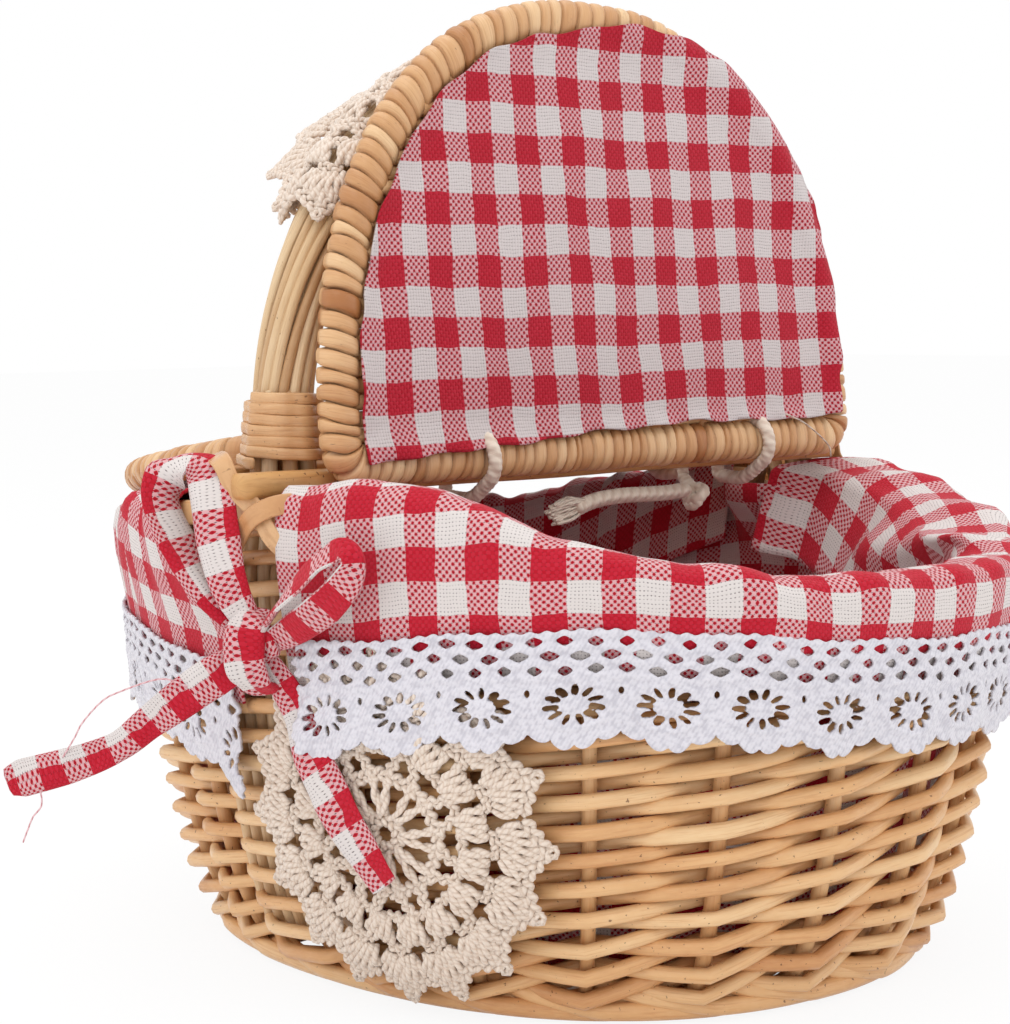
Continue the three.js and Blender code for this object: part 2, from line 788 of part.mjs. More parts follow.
// The near bow's free end stands out from the basket; the far bow's end hangs beside it
const bowKnotY = -17;
const nearFree = {
  points: [
    new THREE.Vector3(-123, -20, 95),
    new THREE.Vector3(-133, -12, 89),
    new THREE.Vector3(-147, 0, 81),
    new THREE.Vector3(-161, 12, 72),
    new THREE.Vector3(-173, 22, 63),
  ],
};
nearFree.outwards = nearFree.points.map(() => new THREE.Vector3(-0.64, -0.76, 0.1));
const farFree = {
  points: [
    bowPoint(1, bowKnotY, 93, 9),
    bowPoint(1, bowKnotY + 6, 82, 7),
    bowPoint(1, bowKnotY + 11, 68, 7),
    bowPoint(1, bowKnotY + 15, 50, 7),
    bowPoint(1, bowKnotY + 18, 36, 7),
  ],
};
farFree.outwards = farFree.points.map(() => new THREE.Vector3(1, 0, 0));
addPiece('bow_near', bow(-1, bowKnotY, nearFree), gingham);
addPiece('bow_far', bow(1, bowKnotY, farFree), gingham);

// Doilies: one flat on the wall under the lace, one draped over the handle's near shoulder
const doilyBearing = -158 * degree;
const doilyHeight = 51;
const doilyGap = 0.8;

// The height reached by going a distance up or down the wall from a starting height
function climb(bearing, from, distance) {
  const steps = 16;
  let height = from;
  for (let i = 0; i < steps; i += 1) {
    const rise = surfacePoint(bearing, height + 0.5).distanceTo(surfacePoint(bearing, height - 0.5));
    height += distance / steps / rise;
  }
  return height;
}

function wallDoily() {
  const around = 24;
  const sizes = [0.1, 0.4, 0.72, 1];
  const arcAt = surfacePoint(doilyBearing + 0.01, doilyHeight)
    .distanceTo(surfacePoint(doilyBearing, doilyHeight)) / 0.01;
  const face = (outward) => sizes.map((size) => {
    return Array.from({ length: around }, (_, i) => {
      const turn = (2 * Math.PI * i) / around;
      const along = doilyRadius * size * Math.cos(turn);
      const up = doilyRadius * size * Math.sin(turn);
      const bearing = doilyBearing + along / arcAt;
      return wallPoint(bearing, climb(bearing, doilyHeight, up), outward);
    });
  });
  const under = face(doilyGap);
  const over = face(doilyGap + doilyThickness);
  return loft([...under, ...over.reverse()]);
}

addPiece('doily_wall', wallDoily(), ecru);

function handleDoily() {
  const bundle = handleRingTop + handleRodDiameter / 2 + 2 * fitGap;
  const steps = 8;
  const wrap = [-1, -0.5, 0, 0.5, 1, 1.6].map((share) => share * handleDoilyWrap);
  const rings = [];
  for (let i = 0; i <= steps; i += 1) {
    const share = i / steps;
    const sweep = lerp(...handleDoilySweep, share);
    const centre = archPoint(sweep);
    const outward = archOutward(sweep);
    const hang = lerp(...handleDoilyHang, Math.sin(Math.PI * share));
    const line = (radius) => {
      const points = wrap.map((turn) => centre.clone()
        .addScaledVector(outward, radius * Math.cos(turn))
        .add(new THREE.Vector3(0, radius * Math.sin(turn), 0)));
      const side = points[points.length - 1];
      points.push(side.clone().add(new THREE.Vector3(0, 0, -hang / 2)));
      points.push(side.clone().add(new THREE.Vector3(0, 0, -hang)));
      return points;
    };
    rings.push([...line(bundle), ...line(bundle + doilyThickness).reverse()]);
  }
  return loft(rings);
}

addPiece('doily_handle', handleDoily(), ecru);

// Hinge cords: each loop goes round a lid's straight edge and the cross rod beside it
function hingeCord(place, sideY, axisZ) {
  const reach = lidTubeRadius + fitGap + hingeCordDiameter / 2;
  const rodBack = crossRodCentre - crossRodWidth / 2;
  const clear = fitGap + 0.1 + hingeCordDiameter / 2;
  const corner = clear * Math.SQRT1_2 + 0.3;
  const outline = [];
  const arcSteps = 7;
  for (let i = 0; i <= arcSteps; i += 1) {
    const turn = lerp(40, 244, i / arcSteps) * degree;
    outline.push([hingeY - reach * Math.cos(turn), axisZ + reach * Math.sin(turn)]);
  }
  outline.push([crossRodOuter + 1.3, crossRodFoot - clear + 0.1]);
  outline.push([rodBack + 0.6, crossRodFoot - clear]);
  outline.push([rodBack - corner, crossRodFoot - corner]);
  outline.push([rodBack - clear, crossRodFoot + 0.6]);
  outline.push([rodBack - clear, crossRodTop - 1.6]);
  outline.push([rodBack - corner + 0.6, crossRodTop + corner - 0.4]);
  outline.push([rodBack + 3, crossRodTop + clear + 0.2]);
  const centre = outline.map(([y, z]) => new THREE.Vector3(place, sideY * y, z));
  const rings = centre.map((point, i) => {
    const before = centre[(i + centre.length - 1) % centre.length];
    const after = centre[(i + 1) % centre.length];
    const along = after.clone().sub(before).normalize();
    const across = new THREE.Vector3(1, 0, 0);
    const out = along.clone().cross(across);
    const sides = 6;
    return Array.from({ length: sides }, (_, k) => {
      const turn = (2 * Math.PI * k) / sides;
      return point.clone()
        .addScaledVector(across, (hingeCordDiameter / 2) * Math.cos(turn))
        .addScaledVector(out, (hingeCordDiameter / 2) * Math.sin(turn));
    });
  });
  return loft(rings, true);
}

for (const [lidName, sideY, axisZ] of [['front', -1, hingeZ], ['rear', 1, rearHingeZ]]) {
  addPiece(`hinge_cord_${lidName}_near`, hingeCord(hingeCordPlaces[0], sideY, axisZ), cordWhite);
  addPiece(`hinge_cord_${lidName}_far`, hingeCord(hingeCordPlaces[1], sideY, axisZ), cordWhite);
}

// A cord hooked over the front cross rod, knotted under it, with a loose frayed tail
const knotX = 44;
const knotZ = crossRodFoot - 7.4;

function cordKnot() {
  const r = knotCordDiameter / 2;
  const y = -crossRodCentre;
  const clear = fitGap + 0.2 + r;
  const back = y + crossRodWidth / 2 + clear;
  const route = [
    [knotX + 1, y - 0.6, crossRodTop + clear],
    [knotX + 1, y + 3, crossRodTop + clear],
    [knotX + 1, back - 0.4, crossRodTop + 1.6],
    [knotX + 1, back, crossRodTop - 1.5],
    [knotX + 1, back, crossRodFoot + 0.5],
    [knotX + 0.5, back - 1, crossRodFoot - 2.6],
    [knotX, y + 1, crossRodFoot - 4.8],
    [knotX, y, knotZ],
  ].map(([px, py, pz]) => new THREE.Vector3(px, py, pz));
  const strand = rod(route, knotCordDiameter, 6);
  const knot = new THREE.SphereGeometry(1, 10, 6);
  knot.scale(4, 4.2, 4.6);
  knot.translate(knotX, y, knotZ);
  return joined([strand, knot]);
}

const tailRoute = [
  [39.6, -14.6, 128.9], [35, -15, 128.6], [30, -15.6, 128.5], [24, -16.3, 128.6], [18, -17, 128.8],
  [12, -17.6, 129], [6, -18.1, 128.9], [0, -18.5, 128.5], [-5, -18.8, 127.6], [-9, -19, 126.4],
];
const tailPoints = tailRoute.map(([x, y, z]) => new THREE.Vector3(x, y, z));
addPiece('cord_knot', cordKnot(), cordWhite);
addPiece('cord_tail', rod(tailPoints, knotCordDiameter, 8), cordWhite);

// Lids: a bent frame wound with cane, a woven panel inside it and gingham on the inner face
const tubeHalfWidth = lidHalfWidth - lidTubeRadius;
const tubeDepth = lidDepth - 2 * lidTubeRadius;

function lidOutline(inset, cornerRadius, steps) {
  const halfWidth = tubeHalfWidth - inset;
  const top = tubeDepth - inset;
  const outline = [];
  const sideFoot = inset + cornerRadius;
  for (let i = 0; i <= steps; i += 1) {
    const sweep = (Math.PI * i) / steps;
    const c = Math.cos(sweep);
    const s = Math.sin(sweep);
    const reach = (Math.abs(c) ** lidPower + s ** lidPower) ** (-1 / lidPower);
    const u = halfWidth * reach * c;
    const h = lerp(sideFoot, top, reach * s);
    outline.push([u, h]);
  }
  for (const [side, order] of [[-1, [1, 2, 3]], [1, [3, 2, 1]]]) {
    order.forEach((k) => {
      const turn = (Math.PI / 2) * (k / 3);
      const u = halfWidth - cornerRadius + cornerRadius * Math.cos(turn);
      outline.push([side * u, sideFoot - cornerRadius * Math.sin(turn)]);
    });
  }
  return outline;
}

function lidRim() {
  const outline = lidOutline(0, lidCornerRadius, lidSteps);
  const centre = outline.map(([u, h]) => new THREE.Vector3(u, 0, h));
  const rings = centre.map((point, i) => {
    const before = centre[(i + centre.length - 1) % centre.length];
    const after = centre[(i + 1) % centre.length];
    const along = after.clone().sub(before).normalize();
    const side = new THREE.Vector3(0, 1, 0);
    const out = along.clone().cross(side);
    const sides = 8;
    return Array.from({ length: sides }, (_, k) => {
      const turn = (2 * Math.PI * k) / sides;
      return point.clone()
        .addScaledVector(side, lidTubeRadius * Math.cos(turn))
        .addScaledVector(out, lidTubeRadius * Math.sin(turn));
    });
  });
  return loft(rings, true);
}

function plate(outline, from, thickness) {
  const shape = new THREE.Shape(outline.map(([u, h]) => new THREE.Vector2(u, h)));
  const geometry = new THREE.ExtrudeGeometry(shape, { depth: thickness, bevelEnabled: false });
  geometry.rotateX(Math.PI / 2);
  geometry.translate(0, from + thickness, 0);
  return geometry;
}

// The panel's outer face: rods side by side that rise over every second rib
function wovenFace(outerSide) {
  const ribs = Math.ceil(lidHalfWidth / lidRibPitch);
  const rows = Math.ceil(lidDepth / lidRodPitch);
  const flat = (-outerSide * lidPanelThickness) / 2;
  const rings = [];
  for (let row = 0; row <= rows; row += 1) {
    const h = row * lidRodPitch;
    const ring = [];
    for (let rib = -ribs; rib <= ribs; rib += 1) {
      const sunk = (rib + row) % 2 === 0 ? 0 : lidRelief;
      ring.push(new THREE.Vector3(rib * lidRibPitch, outerSide * (lidPanelThickness / 2 - sunk), h));
    }
    ring.push(new THREE.Vector3(ribs * lidRibPitch, flat, h));
    ring.push(new THREE.Vector3(-ribs * lidRibPitch, flat, h));
    rings.push(ring);
  }
  return loft(rings);
}

function common(first, second) {
  return fromSolid(toSolid(first).intersect(toSolid(second)));
}

// Notches in the panel and the cloth leave the hinge cords free as the lid turns
function hingeNotches() {
  const width = hingeCordDiameter + 1.2;
  const top = lidTubeRadius + fitGap + hingeCordDiameter + 1.2;
  return hingeCordPlaces.map((place) => {
    const notch = new THREE.BoxGeometry(width, 4 * lidTubeRadius, 2 * top);
    notch.translate(place, 0, 0);
    return notch;
  });
}

function buildLid(name, clothSide) {
  const lid = new THREE.Group();
  const panelInset = lidTubeRadius + fitGap + 0.4;
  const board = plate(
    lidOutline(panelInset, lidPlateCornerRadius, lidSteps),
    -lidPanelThickness,
    2 * lidPanelThickness,
  );
  const panel = common(board, wovenFace(-clothSide));
  const cloth = plate(
    lidOutline(panelInset + lidClothInset, lidPlateCornerRadius, lidSteps),
    clothSide > 0 ? lidPanelThickness / 2 + fitGap : -lidPanelThickness / 2 - fitGap - lidClothThickness,
    lidClothThickness,
  );
  addPiece(`${name}_rim`, lidRim(), cane, lid);
  addPiece(`${name}_panel`, cut(panel, hingeNotches()), willow, lid);
  addPiece(`${name}_cloth`, cut(cloth, hingeNotches()), gingham, lid);
  return lid;
}

const frontLid = buildLid('front_lid', -1);
frontLid.position.set(0, -hingeY, hingeZ);
frontLid.rotation.x = -openLean * degree;
basket.add(frontLid);

const rearLid = buildLid('rear_lid', 1);
rearLid.position.set(0, hingeY, rearHingeZ);
rearLid.rotation.x = -(90 + closedSlope) * degree;
basket.add(rearLid);

export default basket;
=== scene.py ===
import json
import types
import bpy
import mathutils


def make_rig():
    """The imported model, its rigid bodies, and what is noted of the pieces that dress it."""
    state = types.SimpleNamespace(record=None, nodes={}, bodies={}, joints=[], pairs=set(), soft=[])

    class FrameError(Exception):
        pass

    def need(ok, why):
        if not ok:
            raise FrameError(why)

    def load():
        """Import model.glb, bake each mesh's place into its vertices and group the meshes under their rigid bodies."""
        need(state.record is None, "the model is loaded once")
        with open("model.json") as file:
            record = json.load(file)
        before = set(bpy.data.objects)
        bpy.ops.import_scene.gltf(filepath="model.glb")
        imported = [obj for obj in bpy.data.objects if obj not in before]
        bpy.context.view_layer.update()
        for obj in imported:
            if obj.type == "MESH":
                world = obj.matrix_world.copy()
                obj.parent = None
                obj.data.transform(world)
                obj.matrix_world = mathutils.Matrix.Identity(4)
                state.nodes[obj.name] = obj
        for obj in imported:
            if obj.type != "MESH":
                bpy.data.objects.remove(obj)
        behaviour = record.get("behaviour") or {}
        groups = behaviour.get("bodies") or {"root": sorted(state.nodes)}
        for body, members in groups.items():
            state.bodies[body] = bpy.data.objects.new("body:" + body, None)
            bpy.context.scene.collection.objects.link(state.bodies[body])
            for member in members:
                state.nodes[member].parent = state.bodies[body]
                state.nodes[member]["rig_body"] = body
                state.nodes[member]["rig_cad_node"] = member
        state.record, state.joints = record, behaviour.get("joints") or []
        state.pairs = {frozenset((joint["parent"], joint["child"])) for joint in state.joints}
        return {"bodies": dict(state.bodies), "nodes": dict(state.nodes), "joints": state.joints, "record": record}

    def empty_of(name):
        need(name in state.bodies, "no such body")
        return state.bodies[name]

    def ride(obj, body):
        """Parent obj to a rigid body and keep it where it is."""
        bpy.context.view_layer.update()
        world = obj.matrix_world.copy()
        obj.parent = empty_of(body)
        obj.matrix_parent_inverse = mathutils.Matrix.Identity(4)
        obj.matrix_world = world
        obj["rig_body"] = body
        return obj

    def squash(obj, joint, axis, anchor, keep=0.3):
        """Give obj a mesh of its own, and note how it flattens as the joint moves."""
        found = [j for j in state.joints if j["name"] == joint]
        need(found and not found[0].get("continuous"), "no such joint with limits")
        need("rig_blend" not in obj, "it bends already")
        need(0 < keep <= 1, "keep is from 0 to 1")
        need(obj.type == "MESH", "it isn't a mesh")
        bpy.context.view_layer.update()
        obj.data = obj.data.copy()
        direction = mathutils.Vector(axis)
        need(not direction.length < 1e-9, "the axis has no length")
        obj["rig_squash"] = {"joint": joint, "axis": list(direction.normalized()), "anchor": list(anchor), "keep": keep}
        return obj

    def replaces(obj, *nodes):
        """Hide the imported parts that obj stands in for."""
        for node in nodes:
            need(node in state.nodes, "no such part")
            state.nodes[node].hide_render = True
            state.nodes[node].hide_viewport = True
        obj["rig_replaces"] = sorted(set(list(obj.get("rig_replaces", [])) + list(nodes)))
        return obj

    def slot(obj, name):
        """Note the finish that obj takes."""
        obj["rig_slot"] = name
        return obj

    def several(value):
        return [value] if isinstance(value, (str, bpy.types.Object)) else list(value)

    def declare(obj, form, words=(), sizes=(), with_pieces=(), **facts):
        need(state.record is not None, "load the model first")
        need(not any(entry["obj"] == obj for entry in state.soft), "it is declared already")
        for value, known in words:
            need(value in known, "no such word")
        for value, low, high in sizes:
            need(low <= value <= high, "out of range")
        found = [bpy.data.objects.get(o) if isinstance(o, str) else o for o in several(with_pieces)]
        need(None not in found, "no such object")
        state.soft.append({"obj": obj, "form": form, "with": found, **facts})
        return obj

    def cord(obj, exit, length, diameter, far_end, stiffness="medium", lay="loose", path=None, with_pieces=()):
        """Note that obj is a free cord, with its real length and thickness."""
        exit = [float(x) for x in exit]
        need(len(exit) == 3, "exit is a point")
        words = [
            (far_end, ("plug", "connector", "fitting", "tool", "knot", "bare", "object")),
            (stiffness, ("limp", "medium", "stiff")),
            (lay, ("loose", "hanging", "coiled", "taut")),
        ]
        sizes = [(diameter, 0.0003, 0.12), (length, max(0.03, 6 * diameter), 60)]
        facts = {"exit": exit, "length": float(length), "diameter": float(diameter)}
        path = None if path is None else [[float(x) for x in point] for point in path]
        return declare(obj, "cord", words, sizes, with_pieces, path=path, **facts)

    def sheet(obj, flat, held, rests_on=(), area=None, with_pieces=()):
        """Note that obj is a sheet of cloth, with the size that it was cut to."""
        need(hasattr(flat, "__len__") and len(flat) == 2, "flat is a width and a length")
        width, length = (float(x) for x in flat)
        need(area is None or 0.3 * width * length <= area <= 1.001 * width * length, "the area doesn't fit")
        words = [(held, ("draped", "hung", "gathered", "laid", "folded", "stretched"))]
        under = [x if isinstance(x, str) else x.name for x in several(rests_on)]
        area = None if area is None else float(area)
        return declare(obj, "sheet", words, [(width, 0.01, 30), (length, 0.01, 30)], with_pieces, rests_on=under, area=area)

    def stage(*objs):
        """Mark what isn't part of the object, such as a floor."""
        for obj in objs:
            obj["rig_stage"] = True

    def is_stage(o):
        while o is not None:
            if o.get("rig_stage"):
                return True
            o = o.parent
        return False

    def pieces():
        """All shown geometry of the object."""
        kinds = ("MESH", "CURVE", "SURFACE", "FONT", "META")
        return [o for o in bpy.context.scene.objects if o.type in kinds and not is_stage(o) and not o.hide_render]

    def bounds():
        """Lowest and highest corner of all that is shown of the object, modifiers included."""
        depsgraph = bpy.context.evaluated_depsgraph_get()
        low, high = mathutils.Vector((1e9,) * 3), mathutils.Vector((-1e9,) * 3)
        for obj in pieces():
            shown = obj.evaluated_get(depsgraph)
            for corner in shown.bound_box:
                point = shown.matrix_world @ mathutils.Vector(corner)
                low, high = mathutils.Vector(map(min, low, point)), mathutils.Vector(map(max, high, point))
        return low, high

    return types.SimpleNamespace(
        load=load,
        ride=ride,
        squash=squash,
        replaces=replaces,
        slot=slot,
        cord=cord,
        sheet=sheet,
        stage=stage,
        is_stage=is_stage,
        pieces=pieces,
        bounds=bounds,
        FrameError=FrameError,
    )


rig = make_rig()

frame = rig.load()
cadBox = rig.bounds()

import json
import math
import random

import bpy
import numpy as np
from mathutils import Matrix, Vector

mm = 0.001
rng = random.Random(7)


# Camera and lamps

print("stage: camera and lamps")
view = {
    "place": (-0.4678, -0.5274, 0.1850),
    "turn": -40.32, "down": 4.95, "roll": -0.70, "lens": 83.39,
}
bpy.ops.object.select_all(action="DESELECT")
bpy.ops.object.camera_add(location=view["place"])
camera = bpy.context.object
camera.name = "photoCamera"
aim = (
    Matrix.Rotation(math.radians(view["turn"]), 3, "Z")
    @ Matrix.Rotation(math.radians(90 - view["down"]), 3, "X")
    @ Matrix.Rotation(math.radians(view["roll"]), 3, "Z")
)
camera.rotation_euler = aim.to_euler()
camera.data.lens = view["lens"]
camera.data.sensor_width = 36
camera.data.clip_start = 0.02
camera.data.clip_end = 30
scene = bpy.context.scene
scene.camera = camera
scene.view_settings.view_transform = "Standard"

lamps = {
    "key": {"place": (-0.8, -0.9, 1.9), "aim": 0.12, "size": 1.7, "power": 9.6},
    "fill": {"place": (-1.5, 0.5, 0.8), "aim": 0.12, "size": 1.6, "power": 3.6},
    "side": {"place": (1.3, -1.1, 0.9), "aim": 0.12, "size": 1.4, "power": 2.6},
    "top": {"place": (0.1, 0.3, 1.8), "aim": 0.1, "size": 1.5, "power": 8.5},
}
for name, lamp in lamps.items():
    bpy.ops.object.light_add(type="AREA", location=lamp["place"])
    light = bpy.context.object
    light.name = name + "Lamp"
    light.data.size = lamp["size"]
    light.data.energy = lamp["power"]
    aim = Vector((0, 0, lamp["aim"])) - light.location
    light.rotation_euler = aim.to_track_quat("-Z", "Y").to_euler()


# Shader maths and materials

def rgb(red, green, blue):
    return tuple(((c / 255 + 0.055) / 1.055) ** 2.4 if c > 10 else c / 3294 for c in (red, green, blue))


class Signal:
    # a number or colour that changes over a surface; sums on it add Math nodes
    def __init__(self, paint, socket):
        self.paint, self.socket = paint, socket

    def maths(self, operation, *values):
        return self.paint.node("Math", {"operation": operation}, dict(enumerate(values)))

    def __add__(self, other):
        return self.maths("ADD", self, other)

    def __radd__(self, other):
        return self.maths("ADD", other, self)

    def __sub__(self, other):
        return self.maths("SUBTRACT", self, other)

    def __rsub__(self, other):
        return self.maths("SUBTRACT", other, self)

    def __mul__(self, other):
        return self.maths("MULTIPLY", self, other)

    def __rmul__(self, other):
        return self.maths("MULTIPLY", other, self)

    def __truediv__(self, other):
        return self.maths("DIVIDE", self, other)

    def __mod__(self, other):
        return self.maths("FLOORED_MODULO", self, other)

    def floor(self):
        return self.maths("FLOOR", self)

    def offCentre(self):
        # how far the fraction is from a half
        return (self.maths("FRACT", self) - 0.5).size()

    def size(self):
        return self.maths("ABSOLUTE", self)

    def wave(self):
        return self.maths("SINE", self) * 0.5 + 0.5

    def between(self, low, high, toLow=0.0, toHigh=1.0):
        values = {0: self, 1: low, 2: high, 3: toLow, 4: toHigh}
        return self.paint.node("MapRange", {"interpolation_type": "SMOOTHSTEP"}, values)


class Paint:
    # one material; everything constant goes straight on the shader's own sockets
    def __init__(self, name, **fixed):
        self.material = bpy.data.materials.new(name)
        self.material.use_nodes = True
        self.tree = self.material.node_tree
        self.shader = self.tree.nodes["Principled BSDF"]
        for key, value in fixed.items():
            self.shader.inputs[key.replace("_", " ")].default_value = value

    def node(self, kind, settings=None, inputs=None, output=0):
        made = self.tree.nodes.new("ShaderNode" + kind)
        for key, value in (settings or {}).items():
            if key == "stops":
                stops = made.color_ramp.elements
                while len(stops) < len(value):
                    stops.new(0.5)
                for stop, (place, colour) in zip(stops, value):
                    stop.position = place
                    stop.color = (*colour, 1)
            else:
                setattr(made, key, value)
        for key, value in (inputs or {}).items():
            if isinstance(value, Signal):
                self.tree.links.new(value.socket, made.inputs[key])
            else:
                made.inputs[key].default_value = value
        return Signal(self, made.outputs[output])

    def mapped(self):
        # the piece's own map, in metres or in turns
        split = self.node("SeparateXYZ", inputs={0: self.node("TexCoord", output="UV")})
        return split, Signal(self, split.socket.node.outputs[1])

    def tone(self):
        return self.node("Attribute", {"attribute_name": "tone"}, output="Fac")

    def noise(self, place, scale, detail=2.0, rough=0.5):
        inputs = {"Vector": self.vector(*place), "Scale": scale, "Detail": detail, "Roughness": rough}
        return self.node("TexNoise", inputs=inputs)

    def vector(self, x, y, z=0.0):
        return self.node("CombineXYZ", inputs={0: x, 1: y, 2: z})

    def blend(self, share, first, second):
        first, second = (c if isinstance(c, Signal) else (*c, 1) for c in (first, second))
        settings = {"data_type": "RGBA", "blend_type": "MIX"}
        return self.node("Mix", settings, {0: share, 6: first, 7: second}, output=2)

    def wear(self, colour, height, lift, strength, rough=None):
        relief = self.node("Bump", inputs={"Height": height, "Strength": strength, "Distance": lift})
        for key, value in {"Base Color": colour, "Roughness": rough, "Normal": relief}.items():
            if value is not None:
                self.tree.links.new(value.socket, self.shader.inputs[key])
        return self.material


def woodPaint(name, pale, middle, deep, rough, speck, grooveShade=0.0):
    # peeled willow or split cane: grain along the rod, scuffs and small dark buds; with grooveShade, painted shade
    # along the edges of wound strips
    p = Paint(name, IOR=1.45)
    around, along = p.mapped()
    tone = p.tone()
    lane = tone * 37
    fibre = p.noise((around * 3.2, along * 55, lane), 3.5, 3.0, 0.6)
    cloudy = p.noise((around * 0.5, along * 22, lane), 1.0, 2.0)
    share = tone * 0.75 + fibre * 0.35 + cloudy * 0.55 - 0.32
    colour = p.node("ValToRGB", {"stops": [(0.0, pale), (0.5, middle), (1.0, deep)]}, {0: share})
    streak = p.noise((around * 9, along * 26, lane + 2), 2.6, 3.0, 0.6).between(0.5, 0.72)
    colour = p.blend(streak * 0.4, colour, deep)
    spots = p.noise((around * 5, along * 330, lane), 2.2, 2.0, 0.55).between(speck, speck + 0.05)
    marks = p.noise((around * 2.2, along * 60, lane + 5), 3.0, 4.0, 0.75).between(0.66, 0.74)
    colour = p.blend(spots * 0.7, colour, rgb(88, 48, 24))
    colour = p.blend(marks * 0.4, colour, rgb(134, 76, 42))
    # painted shade in the grooves between wound strips: each strip's edges go dark brown
    if grooveShade:
        edge = around.offCentre().between(0.4, 0.5)
        colour = p.blend(edge * grooveShade, colour, rgb(96, 54, 28))
    shine = fibre.between(0.2, 0.8, rough - 0.08, rough + 0.1)
    return p.wear(colour, fibre + spots * -0.6 + cloudy * 0.4, 0.00022, 0.55, shine)


def ginghamPaint(name, red, white):
    # plain weave of red and white threads, laid out in metres on the cloth's own map
    p = Paint(name, IOR=1.4, Roughness=0.95, Sheen_Weight=0.08, Sheen_Roughness=0.5)
    threads = gingham["threads"]
    pitch = gingham["check"] * mm / threads
    u, v = p.mapped()
    drift = p.noise((u, v), 230.0, 1.0)
    slow = p.noise((v, u, 3.1), 42.0, 1.0)
    u = u + (drift - 0.5) * 0.0009 + (slow - 0.5) * 0.003
    v = v + (drift - 0.5) * -0.0008 + (slow - 0.5) * 0.0026
    warp, weft = u / pitch, v / pitch
    warpRed = (warp / threads).floor() % 2
    weftRed = (weft / threads).floor() % 2
    top = (warp.floor() + weft.floor()) % 2
    bothRed = warpRed * weftRed
    oneRed = warpRed + weftRed - bothRed * 2
    redTop = warpRed * top + weftRed * (1 - top)
    x, y = warp.offCentre(), weft.offCentre()
    dot = (x + y).between(0.5, 0.78, 1.0, 0.0)
    fuzz = p.noise((u, v), 2400.0)
    gaps = p.noise((u, v, 1.7), 700.0).between(0.3, 0.62)
    hole = ((0.5 - x) / 0.27 + (0.5 - y) / 0.17).between(0.55, 1.25, 1.0, 0.0) * (gaps * 0.75 + 0.25)
    slub = p.noise((warp.floor() * 0.41, weft.floor() * 0.41), 5.0, 1.0)
    redShare = bothRed + oneRed * redTop * dot
    cloth = p.blend(redShare, white, red)
    cloth = p.blend(oneRed * (1 - redTop * dot) * (0.34 + fuzz * 0.3), cloth, rgb(214, 92, 112))
    # painted shade: the middle of each red dot in the mixed squares goes dark red, as if shadowed under the white
    # floats
    cloth = p.blend(oneRed * redTop * (x + y).between(0.0, 0.5, 1.0, 0.0) * 0.5, cloth, rgb(96, 2, 22))
    # in the all-red squares slub gives real tone from thread to thread, and weftTop lightens crossings where the weft
    # lies on top, a painted highlight
    weftTop = bothRed * (1 - top) * 0.22
    cloth = p.blend((slub - 0.5).size() * bothRed * 0.6 + weftTop, cloth, rgb(216, 56, 80))
    # painted shade: the holes between threads go dark grey in white cloth and dark red in red, as the shade seen
    # through the weave
    depth = hole * (gingham["holeWhite"] + bothRed * (gingham["holeRed"] - gingham["holeWhite"]))
    cloth = p.blend(depth, cloth, p.blend(redShare, rgb(92, 80, 82), rgb(92, 2, 16)))
    height = (1 - hole) * 0.7 + (0.5 - (x + y)) * 0.5 + fuzz * 0.4
    return p.wear(cloth, height, gingham["relief"] * mm, 0.6)


def yarnPaint(name, pale, shade, strands, lay, relief):
    # cotton yarn: plies that wind round each strand
    p = Paint(name, IOR=1.4, Sheen_Weight=0.3, Sheen_Roughness=0.5)
    around, along = p.mapped()
    tone = p.tone()
    ply = ((around * strands + along / lay + tone * 3) * (2 * math.pi)).wave()
    fibre = p.noise((around * 2 + along / lay, along * 240, tone * 9), 6.0, 3.0, 0.65)
    # where each ply dips the colour goes towards shade: painted shade between the plies; fibre and tone add real
    # variation in the yarn
    share = ply.between(0.0, 0.55, 1.0, 0.0) * 0.42 + fibre * 0.35 + tone * 0.25 - 0.12
    return p.wear(p.blend(share, pale, shade), ply + fibre * 0.5, relief * mm, 0.9)


def closeThreadPaint(name, pale, shade, knotScale, relief):
    # fine cotton thread worked so close that it shows as small knots
    p = Paint(name, IOR=1.4, Sheen_Weight=0.3, Sheen_Roughness=0.5)
    u, v = p.mapped()
    twist = p.noise((u, v), 900.0)
    knots = p.node("TexVoronoi", {"feature": "F1"}, {"Vector": p.vector(u, v * 1.25), "Scale": knotScale})
    strand = ((u + v * 0.6 + twist * 0.0008) * 5200).wave()
    height = (1 - knots * 1.1) * 0.7 + strand * 0.25 + twist * 0.4
    # painted shade: the low parts between the knots take the darker shade colour
    colour = p.blend(height.between(0.25, 0.85, 1.0, 0.0) * 0.55, pale, shade)
    return p.wear(colour, height, relief * mm, 0.9)


# holeWhite and holeRed set how strong the painted shade in the weave's holes is in white and in red
gingham = {"check": 8.5, "threads": 9, "holeWhite": 0.95, "holeRed": 0.5, "relief": 0.3}
willow = woodPaint("willowRod", rgb(236, 202, 156), rgb(222, 174, 122), rgb(190, 126, 76), 0.38, 0.69)
handleWillow = woodPaint("handleWillow", rgb(228, 204, 168), rgb(206, 172, 130), rgb(168, 122, 80), 0.4, 0.72)
cane = woodPaint("splitCane", rgb(232, 198, 154), rgb(206, 156, 108), rgb(160, 102, 58), 0.27, 0.7)
# the rim cane has painted shade in the grooves between its turns
rimCane = woodPaint("rimCane", rgb(232, 198, 154), rgb(210, 162, 114), rgb(170, 112, 66), 0.34, 0.71, grooveShade=0.5)
barkWillow = woodPaint("splitRod", rgb(222, 178, 118), rgb(196, 144, 88), rgb(150, 98, 54), 0.45, 0.66)
check = ginghamPaint("gingham", rgb(178, 6, 32), rgb(216, 208, 205))
